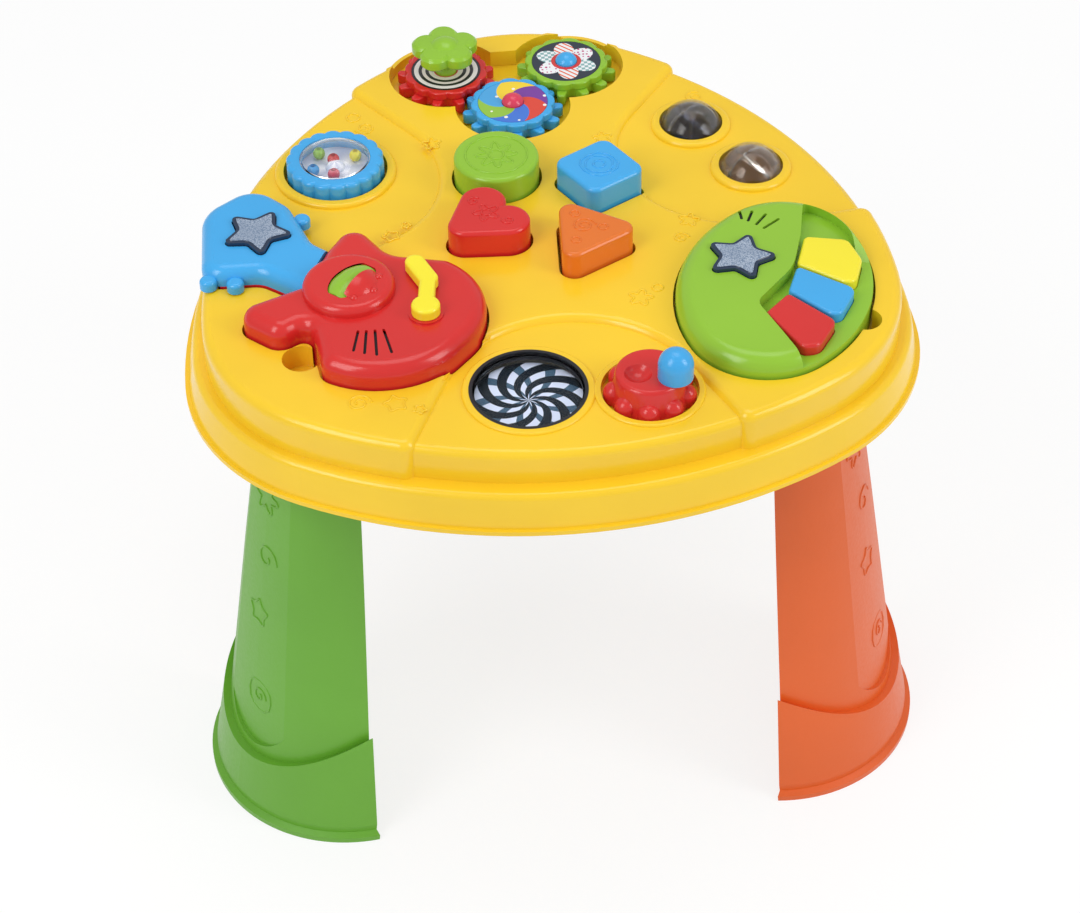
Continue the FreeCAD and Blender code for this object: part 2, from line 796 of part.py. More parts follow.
def leg(direction):
    """One leg about its own axis, then turned and moved out to its corner."""
    knee_top = leg_knee_z + foot_step
    cone = [(leg_foot_r, leg_foot_z), (leg_knee_r + foot_step, leg_knee_z - foot_step),
            (leg_knee_r, knee_top)]
    foot = [(leg_base_r, 0.0), (leg_base_r, bead_leg_h), (leg_foot_r, bead_leg_h + 2)] + cone
    foot_in = [(leg_foot_r, 0.0)] + cone
    outer = spun(leg_profile(), 0.0, 0.0, leg_top_z)
    outer = one(outer, spun(foot, 0.0, 0.0, knee_top).common(foot_wave()))
    outer = outer.cut(leg_panel(0.0, 0.0, 0.0, leg_top_z + 1))
    inner = one(spun(leg_profile(), wall, -1.0, leg_top_z - wall),
                spun(foot_in, wall, -1.0, knee_top).common(foot_wave(wall)))
    inner = inner.cut(leg_panel(wall, wall, -1.0, leg_top_z + 1))
    shell = outer.cut(inner)
    # open side: a slanted plane that nears the leg's axis towards the neck
    tilt = math.degrees(math.atan((leg_open_base - leg_open_top) / leg_neck_z))
    opening = Part.makeBox(400, 400, 800, Vec(-400, -200, -200))
    opening.rotate(Vec(0, 0, 0), Vec(0, 1, 0), -tilt)
    opening.translate(Vec(leg_open_base, 0, 0))
    shell = shell.cut(opening)
    for side in (-1, 1):
        hole = (leg_screw_x, side * leg_screw_y)
        shell = shell.cut(disc(hole, screw_r + 0.2, leg_top_z - wall - 1, leg_top_z + 1))
    shell.rotate(Vec(0, 0, 0), up, direction)
    shell.translate(polar(leg_dist, direction))
    return shell.removeSplitter()


def screw(centre, z, length):
    """Pan-head screw driven upwards, its head below z."""
    return one(disc(centre, 2 * screw_r, z - 2.2, z), disc(centre, screw_r, z - 1, z + length))


# Gears, rattle wheel and their pins

def pin(centre, floor):
    """Shouldered pin: pressed through a floor, with a collar below and a head above the wheel."""
    head = floor + gear_lift + pin_grip + play
    return one(disc(centre, pin_r, floor - wall, head + pin_head_h),
               disc(centre, pin_collar_r, floor, floor + gear_lift - play),
               disc(centre, pin_head_r, head, head + pin_head_h))


def gear(centre, turn):
    low = gear_floor + gear_lift
    top = low + gear_h
    web_top = low + gear_web
    teeth = prism(lobed_gear_wire(centre, gear_teeth, gear_root_r, gear_tip_r, turn), low, web_top)
    scallops = lobe_wire(centre, gear_teeth, gear_plate_r - 2.2, gear_plate_r, turn - 180.0 / gear_teeth)
    plate = prism(scallops, web_top + gear_slip, top)
    core = disc(centre, gear_root_r - 1.0, low, top - 1)
    body = one(round_top(teeth, 1.2, web_top), round_top(plate, 1.2, top), core)
    body = body.cut(disc(centre, print_r + play, top - print_t, top + 1))
    body = body.cut(tube(centre, gear_root_r - wall, hub_r + wall, low - 1, top - wall - print_t))
    body = body.cut(disc(centre, pin_head_r + play, low + pin_grip, top + 1))
    return body.cut(disc(centre, pin_r + running, low - 1, top)).removeSplitter()


def gear_print(centre):
    top = gear_floor + gear_lift + gear_h
    return tube(centre, print_r, hub_r + play, top - print_t, top)


def domed(centre, radius, z0, z1, rise):
    """Round cap: a cylinder with a spherical crown."""
    crown_r = (radius ** 2 + rise ** 2) / (2 * rise)
    crown = Part.makeSphere(crown_r, Vec(centre[0], centre[1], z1 + rise - crown_r))
    return one(disc(centre, radius, z0, z1), crown.common(disc(centre, radius, z1, z1 + rise)))


def gear_hub(centre):
    top = gear_floor + gear_lift + gear_h
    seat = top - print_t
    return domed(centre, hub_r, seat, top + 1, hub_dome)


def flower_knob():
    centre = gear_centres[0]
    seat = gear_floor + gear_lift + gear_h - print_t
    stem = disc(centre, hub_r, seat, flower_z + 1)
    petals = [disc(centre, petal_ring, flower_z, flower_z + flower_h)]
    for k in range(5):
        c = polar(petal_ring, 18 + 72 * k, centre)
        petals.append(disc((c.x, c.y), petal_r, flower_z, flower_z + flower_h))
    flower = one(*petals)
    rims = edges_at(flower, flower_z) + edges_at(flower, flower_z + flower_h)
    flower = flower.makeChamfer(2.2, rims)
    button = domed(centre, hub_r + 1.6, flower_z + flower_h - 1, flower_z + flower_h, 3.5)
    return one(flower, stem, button)


def lobe_wire(centre, count, valley, crest, turn=0.0):
    """Ring of shallow convex lobes that meet in valleys."""
    pitch = 360.0 / count
    edges = []
    for k in range(count):
        a = turn + k * pitch
        edges.append(arc(polar(valley, a, centre), polar(crest, a + pitch / 2, centre), polar(valley, a + pitch, centre)))
    return Part.Wire(edges)


def rattle_ring():
    low = rattle_floor + gear_lift
    top = low + rattle_h
    body = prism(lobe_wire(rattle_centre, rattle_lobes, rattle_r - 1.9, rattle_r), low, top)
    body = round_top(body, 3.0, top)
    body = body.cut(disc(rattle_centre, rattle_window_r + 1.0, low + pin_grip, top + 1))
    return body.cut(disc(rattle_centre, pin_r + running, low - 1, top)).removeSplitter()


def rattle_base():
    low = rattle_floor + gear_lift + pin_grip
    plate = disc(rattle_centre, rattle_window_r + 0.8, low, low + rattle_plate / 2)
    plate = plate.cut(disc(rattle_centre, pin_head_r + play, low - 1, low + pin_head_h + 2 * play))
    return one(plate, domed(rattle_centre, 6.5, low + 3, low + rattle_plate / 2 + 1, 4.0))


def rattle_beads():
    low = rattle_floor + gear_lift + pin_grip + rattle_plate / 2
    beads = []
    for k in range(bead_count):
        c = polar(bead_ring, 40 + 360.0 / bead_count * k, rattle_centre)
        beads.append(disc((c.x, c.y), bead_r, low, low + 1.6 * bead_r))
    return Part.makeCompound(beads)


def rattle_dome_shape():
    top = rattle_floor + gear_lift + rattle_h
    outer = domed(rattle_centre, rattle_window_r + 0.8, top - 2.5, top, rattle_dome)
    inner = domed(rattle_centre, rattle_window_r - 0.8, top - 3.5, top - 0.4, rattle_dome - 1.0)
    return outer.cut(inner)


# Balls

def along(direction, radius, length, centre, z):
    """Cylinder along a horizontal direction, centred on a point."""
    d = Vec(math.cos(math.radians(direction)), math.sin(math.radians(direction)), 0)
    start = Vec(centre[0], centre[1], z) - d * (length / 2)
    return Part.makeCylinder(radius, length, start, d)


def ball(centre):
    mid = Vec(centre[0], centre[1], ball_z)
    reach = 2 * (ball_r + cradle_gap + cradle_wall)
    pins = along(ball_dir, ball_pin_r, reach, centre, ball_z)
    body = one(Part.makeSphere(ball_r, mid), pins)
    return body.cut(Part.makeSphere(ball_r - ball_wall, mid))


def ball_core(centre):
    """Divider seen through the shell: a disc across the ball and one along its axis."""
    inner = ball_r - ball_wall - 0.1
    mid = Vec(centre[0], centre[1], ball_z)
    across = along(ball_dir, inner, 1.4, centre, ball_z)
    plate = along(ball_dir + 90, inner, 1.4, centre, ball_z)
    half = plate.common(along(ball_dir, 9.0, 60, centre, ball_z))
    return one(across.common(Part.makeSphere(inner, mid)), half.common(Part.makeSphere(inner, mid)))


def ball_cradles():
    cups = []
    inner = ball_r + cradle_gap
    outer = inner + cradle_wall
    under = bay_z - wall
    for centre in ball_centres:
        cup = disc(centre, outer, ball_z - inner - 2, under)
        cup = one(cup, disc(centre, outer + cradle_flange, under - 3, under))
        cup = cup.cut(disc(centre, inner, ball_z - inner, under + 1))
        bearing = along(ball_dir, ball_pin_r + running, 4 * outer, centre, ball_z)
        slot = Part.makeBox(4 * outer, 2 * (ball_pin_r + running), under - ball_z + 1,
                            Vec(-2 * outer, -ball_pin_r - running, 0))
        slot.rotate(Vec(0, 0, 0), up, ball_dir)
        slot.translate(Vec(centre[0], centre[1], ball_z))
        cups.append(cup.cut(bearing.common(disc(centre, outer + 1, 0, play_z))).cut(
            slot.common(disc(centre, outer + 0.5, 0, play_z))))
    return Part.makeCompound(cups)


# Blocks

def block(plan):
    """Hollow block: its convex pieces are rounded one by one, then joined."""
    low = well_floor + unit_seat
    top = play_z + block_rise
    outer = one(*[round_top(piece, block_edge_r, top) for piece in plan(0.0, low, top)])
    return outer.cut(one(*plan(-block_wall, low + block_wall, top - block_wall)))


# Lift-out units: guitar and keyboard

def uv_disc(unit, uv, radius, z0, z1):
    return disc(place(uv, *unit), radius, z0, z1)


def uv_prism(unit, corners, off, z0, z1):
    ring = [place(c[:2], *unit) + (c[2],) for c in corners]
    return prism(rounded(ring, off), z0, z1)


def uv_box(unit, u0, u1, v0, v1, z0, z1):
    return uv_prism(unit, [(u0, v0, 0.5), (u1, v0, 0.5), (u1, v1, 0.5), (u0, v1, 0.5)], 0.0, z0, z1)


def uv_slot(unit, a, b, radius, z0, z1):
    pa, pb = place(a, *unit), place(b, *unit)
    return prism(belt([(pa[0], pa[1], radius), (pb[0], pb[1], radius)]), z0, z1)


def back_casing(unit, plan, posts, door, board_posts):
    """Tray with screw posts, board posts and an opening for the battery door."""
    low = unit_floor
    tray = plan(0.0, low, unit_split)
    tray = tray.cut(plan(-unit_wall, low + unit_wall, unit_split + 1))
    extra = [uv_disc(unit, uv, post_r, low, unit_split) for uv in posts]
    extra += [uv_disc(unit, uv, screw_r + 1, low, board_z) for uv in board_posts]
    tray = one(tray, *extra)
    holes = [uv_disc(unit, uv, screw_r + 0.1, low - 1, unit_split + 1) for uv in posts]
    holes += [uv_disc(unit, uv, 2 * screw_r + 0.3, low - 1, low + 4) for uv in posts]
    holes.append(uv_box(unit, *door, low - 1, low + unit_wall + 1))
    return tray.cut(holes).removeSplitter()


def unit_screws(unit, posts):
    return Part.makeCompound([screw(place(uv, *unit), unit_floor + 4, unit_screw) for uv in posts])


def shell_room(plan, z0, top, edge):
    """Room under a shell: it steps in where the shell's top edge is rounded."""
    return one(prism(plan(-unit_wall), z0, top - edge),
               prism(plan(-unit_wall - 0.35 * edge), z0, top - unit_wall))


def bosses(unit, posts, outer):
    """Screw bosses that reach up to the roof of an upper shell."""
    out = []
    for uv in posts:
        boss = uv_disc(unit, uv, post_r, unit_split, play_z + 30).common(outer)
        out.append(boss.cut(uv_disc(unit, uv, screw_r, unit_split - 1, unit_floor + 4.5 + unit_screw)))
    return out


def battery_door(unit, door):
    u0, u1, v0, v1 = door
    g = play
    return uv_box(unit, u0 + g, u1 - g, v0 + g, v1 - g, unit_floor, unit_floor + unit_wall)


def cells(unit, door, count):
    """Battery cells lying side by side on the door."""
    u0, u1, v0, v1 = door
    mid = (v0 + v1) / 2
    out = []
    for k in range(count):
        v = mid + (k - (count - 1) / 2) * (2 * cell_r + 0.6)
        z = unit_floor + unit_wall + cell_r
        d = Vec(math.cos(math.radians(unit[1])), math.sin(math.radians(unit[1])), 0)
        start = place(((u0 + u1 - cell_len) / 2, v), *unit)
        base = Vec(start[0], start[1], z)
        out.append(one(Part.makeCylinder(cell_r, cell_len - 1.5, base, d),
                       Part.makeCylinder(2.6, cell_len, base, d)))
    return Part.makeCompound(out)


def speaker(unit, uv, radius, top):
    frame = uv_disc(unit, uv, radius, top - 1.6, top)
    cx, cy = place(uv, *unit)
    cone = Part.makeCone(radius * 0.5, radius - 1.5, 6.0, Vec(cx, cy, top - 7.6))
    magnet = uv_disc(unit, uv, radius * 0.6, top - 12.0, top - 7.0)
    return one(frame, cone, magnet)


def board(unit, boxes):
    return one(*[uv_box(unit, *box, board_z, board_z + board_t) for box in boxes])


def contact(unit, uv, stroke):
    """Switch on the board, reached at the end of a button's stroke."""
    low = board_z + board_t
    return uv_disc(unit, uv, contact_r, low, low + contact_gap - stroke - play)


def button(unit, uv, turn, top_z):
    """Star button: face, flange under the shell and a stem above its switch."""
    centre = place(uv, *unit)
    under = top_z - unit_wall
    face = prism(star_wire(centre, star_tip_r, star_waist_r, turn + unit[1]), under - play - 3.0,
                 top_z + button_rise)
    flange = prism(star_wire(centre, star_tip_r, star_waist_r, turn + unit[1], 1.8),
                   under - play - 1.5, under - play)
    stem = disc(centre, 4.0, board_z + board_t + contact_gap, under)
    return one(face, flange, stem)


def star_hole(unit, uv, turn, z0, z1):
    return prism(star_wire(place(uv, *unit), star_tip_r, star_waist_r, turn + unit[1], 0.6), z0, z1)


guitar = (guitar_at, guitar_turn)
piano = (piano_at, piano_turn)


def guitar_back():
    body = back_casing(guitar, guitar_prism, guitar_posts, guitar_door, guitar_board_posts)
    axis_z = roller_z
    for side in (-1, 1):
        v0 = roller_uv[1] + side * (roller_len / 2 + 1.0)
        v1 = v0 + side * 3.0
        low, high = min(v0, v1), max(v0, v1)
        cheek = uv_box(guitar, roller_uv[0] - 5, roller_uv[0] + 5, low, high, unit_floor + 1, axis_z + 2.0)
        body = body.fuse(cheek)
    bore = along(guitar_turn + 90, roller_pin_r + running, roller_len + 12, place(roller_uv, *guitar), axis_z)
    slot = uv_box(guitar, roller_uv[0] - roller_pin_r - running, roller_uv[0] + roller_pin_r + running,
                  roller_uv[1] - roller_len / 2 - 6, roller_uv[1] + roller_len / 2 + 6, axis_z, axis_z + 5)
    return body.cut(bore).cut(slot).removeSplitter()


def barrel(end_r, mid_r, length, centre, z):
    """Solid of revolution about the roller's axis, fattest in the middle."""
    half = length / 2
    rise = mid_r - end_r
    outline = [line(Vec(0, 0, -half), Vec(end_r, 0, -half)),
               arc(Vec(end_r, 0, -half), Vec(end_r + rise, 0, 0), Vec(end_r, 0, half)),
               line(Vec(end_r, 0, half), Vec(0, 0, half)),
               line(Vec(0, 0, half), Vec(0, 0, -half))]
    body = Part.Face(Part.Wire(outline)).revolve(Vec(0, 0, 0), up, 360)
    return on_roller_axis(body, centre, z)


def on_roller_axis(body, centre, z):
    """Lay a body drawn about the Z axis along the roller's axis."""
    body.rotate(Vec(0, 0, 0), Vec(1, 0, 0), 90)
    body.rotate(Vec(0, 0, 0), up, guitar_turn)
    body.translate(Vec(centre[0], centre[1], z))
    return body


def roller_room():
    """Space of the turning roller, open at the top of the bump."""
    grow = roller_gap
    return barrel(roller_end_r + grow, roller_r + grow, roller_len + 2 * grow, place(roller_uv, *guitar), roller_z)


def roller_hood():
    """Half-round hood over the roller's tail side, with three beads."""
    u, v = roller_uv
    cx, cy = place(roller_uv, *guitar)
    ball_z0 = roller_z - hood_drop
    hood = Part.makeSphere(hood_r, Vec(cx, cy, ball_z0))
    beads = []
    for turn in (-48, 0, 48):
        a = math.radians(turn)
        reach = hood_r * math.cos(math.radians(38))
        bx, by = place((u + reach * math.cos(a), v + reach * math.sin(a)), *guitar)
        beads.append(Part.makeSphere(2.6, Vec(bx, by, ball_z0 + hood_r * math.sin(math.radians(38)))))
    side = uv_box(guitar, u + hood_cut, u + 2 * hood_r, v - 2 * hood_r, v + 2 * hood_r, guitar_body_z + 2,
                  roller_z + 2 * hood_r)
    return one(hood, *beads).common(side)


def guitar_body():
    """Red upper shell with the bump for the roller, slots and lever bearing."""
    top = guitar_body_z
    shell = round_top(prism(guitar_body_plan(), unit_split, top), shell_edge_r, top)
    bump_top = top + bump_rise
    cx, cy = place(bump_uv, *guitar)
    bump = round_top(disc((cx, cy), bump_r, top - 3, bump_top), bump_rise * 0.8, bump_top)
    shell = one(shell, bump, roller_hood())
    outer = shell
    inner = shell_room(guitar_body_plan, unit_split - 1, top, shell_edge_r)
    inner = one(inner, disc((cx, cy), bump_r - 2.5 * unit_wall, unit_split, bump_top - unit_wall))
    shell = shell.cut([inner, roller_room()])
    shell = one(shell, *bosses(guitar, guitar_posts[:4], outer))
    ring = uv_disc(guitar, lever_uv, lever_pad_r + 2.0, top - 1, top + 1.2)
    shell = one(shell, ring)
    cuts = [uv_slot(guitar, a, b, 0.9, top - 5, top + 2) for a, b in guitar_slots]
    cuts.append(uv_disc(guitar, lever_uv, shaft_r + running, top - 5, top + 3))
    return shell.cut(cuts).removeSplitter()


def guitar_neck():
    """Blue head and neck shell; it overhangs the rim."""
    top = guitar_head_z
    shell = round_top(prism(guitar_head_plan(), unit_split, top), shell_edge_r - 1, top)
    pegs = []
    for uv in peg_uvs:
        pegs.append(round_top(uv_disc(guitar, uv, peg_r, unit_split, top - 5), peg_r * 0.5, top - 5))
    shell = one(shell, *pegs)
    outer = shell
    inner = shell_room(guitar_head_plan, unit_split + unit_wall, top, shell_edge_r - 1)
    mouth = prism(guitar_head_plan(-unit_wall), unit_split - 1, unit_split + unit_wall + 1)
    inner = one(inner, mouth.common(guitar_prism(-unit_wall, unit_split - 2, top)))
    inner = inner.cut(prism(guitar_body_plan(unit_wall), unit_split - 2, top))
    shell = shell.cut(inner)
    shell = one(shell, *bosses(guitar, guitar_posts[4:], outer))
    shell = shell.cut(prism(guitar_body_plan(), unit_split - 1, top + 1))
    return shell.cut(star_hole(guitar, guitar_star_uv, guitar_star_turn, top - 4, top + 1))


def guitar_roller():
    """Barrel with shallow flutes on a plain axle."""
    centre = place(roller_uv, *guitar)
    drum = prism(lobe_wire((0, 0), roller_flutes, roller_r - roller_flute, roller_r), -roller_len / 2, roller_len / 2)
    drum = on_roller_axis(drum, centre, roller_z)
    drum = drum.common(barrel(roller_end_r, roller_r, roller_len, centre, roller_z))
    return one(drum, along(guitar_turn + 90, roller_pin_r, roller_len + 7.0, centre, roller_z))


def guitar_lever():
    low = guitar_body_z + 1.2 + play
    high = low + lever_h
    pad = uv_disc(guitar, lever_uv, lever_pad_r, low, high)
    arm = one(uv_slot(guitar, lever_uv, lever_elbow, lever_arm_r, low, high),
              uv_slot(guitar, lever_elbow, lever_end, lever_tip_r, low, high))
    body = one(pad, arm)
    body = round_top(body, 2.2, high)
    under = guitar_body_z - unit_wall
    post = uv_disc(guitar, lever_uv, shaft_r, under - 3.5, low + 1)
    clip = uv_disc(guitar, lever_uv, shaft_r + 2, under - 3.0, under - play - 0.5)
    return one(body, post, clip)


def key_plan(name, off):
    ring = [place(c[:2], *piano) + (c[2],) for c in keys[name]]
    return rounded(ring, off)


def rim_fade():
    """Wedge that lets the rim beside the keys fade out towards its end."""
    low, high = piano_fade
    start = piano_deck_plan[1][0]
    corners = [(low, piano_deck), (high, piano_z + 1), (low - 1, piano_z + 1), (low - 1, piano_deck)]
    points = [Vec(start, v, z) for v, z in corners]
    wedge = Part.Face(Part.makePolygon(points + points[:1])).extrude(Vec(piano_wide, 0, 0))
    wedge.rotate(Vec(0, 0, 0), up, piano_turn)
    wedge.translate(Vec(piano_at[0], piano_at[1], 0))
    return wedge


def piano_top():
    top = piano_z
    shell = round_top(prism(piano_plan(), unit_split, top), shell_edge_r + 2, top)
    deck = uv_prism(piano, piano_deck_plan, 0.0, piano_deck, top + 1)
    shell = shell.cut([deck, rim_fade()])
    outer = shell
    inner = shell_room(piano_plan, unit_split - 1, top, shell_edge_r + 2)
    inner = inner.cut(uv_prism(piano, piano_deck_plan, unit_wall, piano_deck - unit_wall, top + 1))
    shell = shell.cut(inner)
    shell = one(shell, *bosses(piano, piano_posts, outer))
    cuts = [uv_slot(piano, a, b, 1.0, top - 5, top + 2) for a, b in piano_slots]
    for name in keys:
        cuts.append(prism(key_plan(name, 0.0), unit_split - 1, top + 1))
    cuts.append(star_hole(piano, piano_star_uv, piano_star_turn, top - 4, top + 1))
    return shell.cut(cuts).removeSplitter()


def key(name):
    """Piano key: a hollow cap guided by its opening, with two catches under the deck."""
    catch = piano_deck - unit_wall - play
    low = catch - key_tab
    cu, cv = key_centre(name)
    first, second = keys[name][1], keys[name][2]
    du = (first[0] + second[0]) / 2 - cu
    dv = (first[1] + second[1]) / 2 - cv
    strip = uv_slot(piano, (cu - 1.25 * du, cv - 1.25 * dv), (cu + 0.92 * du, cv + 0.92 * dv), key_tab_r, low, catch)
    cap = one(round_top(prism(key_plan(name, -key_gap / 2), low, key_top), 2.0, key_top), strip)
    cap = cap.cut(prism(key_plan(name, -key_gap / 2 - unit_wall), low - 1, key_top - unit_wall))
    stem = disc(place((cu, cv), *piano), 4.0, board_z + board_t + contact_gap, key_top - 1)
    return one(cap, stem)


# Crank, swirl disc and the gears that join them

def crank_dial():
    low = crank_floor + 0.5
    top = bay_z + crank_rise
    cone = Part.makeCone(crank_r - 3.5, crank_top_r, top - low, Vec(crank_centre[0], crank_centre[1], low))
    cone = cone.makeFillet(3.0, edges_at(cone, top))
    blobs = []
    for k in range(crank_lobes):
        c = polar(blob_ring, 360.0 / crank_lobes * (k + 0.5), crank_centre)
        blob = Part.makeSphere(blob_r, Vec(c.x, c.y, low + blob_r * 0.75))
        blobs.append(one(blob, disc((c.x, c.y), blob_r, low, low + blob_r * 0.75)).common(
            disc((c.x, c.y), blob_r + 1, low, low + 2 * blob_r)))
    body = one(cone, *blobs)
    dip = polar(dip_offset, dip_dir, crank_centre)
    cut = Part.makeSphere(dip_r * 1.2, Vec(dip.x, dip.y, top + dip_r * 0.66))
    body = body.cut(cut)
    shaft = disc(crank_centre, shaft_r, drive_z + drive_h, low + 1)
    knob = polar(knob_offset, knob_dir, crank_centre)
    return one(body.cut(disc((knob.x, knob.y), 3.0, top - 4, top + 1)), shaft)


def crank_knob():
    top = bay_z + crank_rise
    c = polar(knob_offset, knob_dir, crank_centre)
    body = disc((c.x, c.y), knob_r, top, top + knob_h - knob_r)
    cap = Part.makeSphere(knob_r, Vec(c.x, c.y, top + knob_h - knob_r))
    cap = cap.common(disc((c.x, c.y), knob_r + 1, top + knob_h - knob_r, top + knob_h + 1))
    return one(body, cap, disc((c.x, c.y), 3.0 - running, top - 4, top + 1))


def drive_gear(centre, turn):
    pitch_r = math.dist(crank_centre, swirl_centre) / 2
    add = pitch_r * 2 / drive_teeth
    low, high = drive_z, drive_z + drive_h
    body = prism(gear_wire(centre, drive_teeth, pitch_r - 0.95 * add, pitch_r + 0.72 * add, turn), low, high)
    body = body.cut(tube(centre, pitch_r - 2.2 * add, shaft_r + 6, low + 2, high + 1))
    return body.cut(disc(centre, pin_r - 1 + running, low - 1, high - 2)).removeSplitter()


def swirl_disc():
    return one(disc(swirl_centre, swirl_r - 1.5, swirl_z - swirl_t, swirl_z),
               disc(swirl_centre, shaft_r, drive_z + drive_h, swirl_z - swirl_t + 0.5))


def swirl_window():
    return disc(swirl_centre, swirl_r - 2.2, bay_z - 1.0, bay_z - 1.0 + window_t)


def swirl_bezel():
    ring = tube(swirl_centre, swirl_r, swirl_r - 2.2, bay_z - 4.0, bay_z + 1.8)
    lip = tube(swirl_centre, swirl_r, swirl_r - 3.4, bay_z - 4.0, bay_z - 1.0)
    return one(ring, lip)


def drive_cover():
    """Box under the front bay that carries the two gears on stub pins."""
    r = math.dist(crank_centre, swirl_centre) / 2 + 7.5
    ring = [swirl_centre + (r,), crank_centre + (r,)]
    under = bay_z - wall
    body = prism(belt(ring), drive_floor, under).cut(prism(belt(ring, -unit_wall), drive_floor + unit_wall, under + 1))
    inside = prism(rim_wire(-bay_recess - wall - play), drive_floor - 1, play_z)
    lining = prism(rim_wire(-bay_recess - wall - play), drive_floor - 1, play_z).cut(
        prism(rim_wire(-bay_recess - wall - play - unit_wall), drive_floor - 2, play_z + 1))
    body = body.common(inside)
    side = prism(belt(ring), drive_floor, under).common(lining)
    stubs = [disc(c, pin_r - 1, drive_floor + 1, drive_z + drive_h - 2.5) for c in (swirl_centre, crank_centre)]
    rings = [disc(c, shaft_r + 3, drive_floor + 1, drive_z - play) for c in (swirl_centre, crank_centre)]
    body = one(body, side, *(stubs + rings))
    room = [disc(crank_centre, crank_r + unit_gap + wall + play, crank_floor - wall - play, under + 1),
            guitar_prism(unit_gap + wall + play, guitar_floor - wall - play, under + 1),
            prism(piano_plan(unit_gap + wall + play), piano_floor - wall - play, under + 1)]
    return body.cut(room)


def table_screws():
    return Part.makeCompound([screw(at, leg_top_z - wall, wall + screw_bite) for at in leg_screw_points()])


sub_parts = {}


def main():
    os.makedirs("parts", exist_ok=True)
    sub_parts["table_top"] = table_top()
    sub_parts["leg_back"] = leg(90)
    sub_parts["leg_front_left"] = leg(210)
    sub_parts["leg_front_right"] = leg(330)
    sub_parts["table_screws"] = table_screws()
    sub_parts["wheel_pins"] = Part.makeCompound(
        [pin(c, gear_floor) for c in gear_centres] + [pin(rattle_centre, rattle_floor)])
    mesh = gear_mesh_turns()
    for colour, centre, turn in zip(("red", "blue", "green"), gear_centres, mesh):
        sub_parts["gear_" + colour] = gear(centre, turn)
        sub_parts["gear_%s_print" % colour] = gear_print(centre)
        if colour != "red":
            sub_parts["gear_%s_hub" % colour] = gear_hub(centre)
    sub_parts["flower_knob"] = flower_knob()
    sub_parts["rattle_ring"] = rattle_ring()
    sub_parts["rattle_base"] = rattle_base()
    sub_parts["rattle_beads"] = rattle_beads()
    sub_parts["rattle_dome"] = rattle_dome_shape()
    for k, centre in enumerate(ball_centres):
        sub_parts["ball_%d" % (k + 1)] = ball(centre)
        sub_parts["ball_core_%d" % (k + 1)] = ball_core(centre)
    sub_parts["ball_cradles"] = ball_cradles()
    for name, plan in blocks.items():
        sub_parts[name] = block(plan)
    sub_parts["guitar_back"] = guitar_back()
    sub_parts["guitar_body"] = guitar_body()
    sub_parts["guitar_neck"] = guitar_neck()
    sub_parts["guitar_star"] = button(guitar, guitar_star_uv, guitar_star_turn, guitar_head_z)
    sub_parts["guitar_roller"] = guitar_roller()
    sub_parts["guitar_lever"] = guitar_lever()
    sub_parts["guitar_board"] = board(guitar, guitar_boards)
    sub_parts["guitar_speaker"] = speaker(guitar, guitar_speaker_uv, 16.0, guitar_body_z - unit_wall)
    sub_parts["guitar_batteries"] = cells(guitar, guitar_door, 2)
    sub_parts["guitar_battery_door"] = battery_door(guitar, guitar_door)
    sub_parts["guitar_screws"] = unit_screws(guitar, guitar_posts)
    sub_parts["guitar_switch"] = contact(guitar, guitar_star_uv, button_stroke)
    sub_parts["piano_back"] = back_casing(piano, piano_prism, piano_posts, piano_door, piano_board_posts)
    sub_parts["piano_top"] = piano_top()
    for name in keys:
        sub_parts["key_" + name] = key(name)
    sub_parts["piano_star"] = button(piano, piano_star_uv, piano_star_turn, piano_z)
    sub_parts["piano_board"] = board(piano, piano_boards)
    sub_parts["piano_speaker"] = speaker(piano, piano_speaker_uv, 13.0, piano_z - unit_wall)
    sub_parts["piano_batteries"] = cells(piano, piano_door, 2)
    sub_parts["piano_battery_door"] = battery_door(piano, piano_door)
    sub_parts["piano_screws"] = unit_screws(piano, piano_posts)
    sub_parts["piano_switches"] = Part.makeCompound(
        [contact(piano, key_centre(name), key_stroke) for name in keys] +
        [contact(piano, piano_star_uv, button_stroke)])
    sub_parts["crank_dial"] = crank_dial()
    sub_parts["crank_knob"] = crank_knob()
    turns = drive_mesh_turns()
    sub_parts["crank_gear"] = drive_gear(crank_centre, turns[0])
    sub_parts["swirl_gear"] = drive_gear(swirl_centre, turns[1])
    sub_parts["swirl_disc"] = swirl_disc()
    sub_parts["swirl_window"] = swirl_window()
    sub_parts["swirl_bezel"] = swirl_bezel()
    sub_parts["drive_cover"] = drive_cover()

    front = side_r + bead_out - side_dist()
    back = leg_dist + leg_base_r
    shift = Vec(0, (front - back) / 2, 0)
    for name, shape in sub_parts.items():
        shape.translate(shift)
        print(name, len(shape.Solids), round(shape.Volume), shape.isValid())
        shape.exportStep("parts/" + name + ".step")


if __name__ == "__main__":
    main()
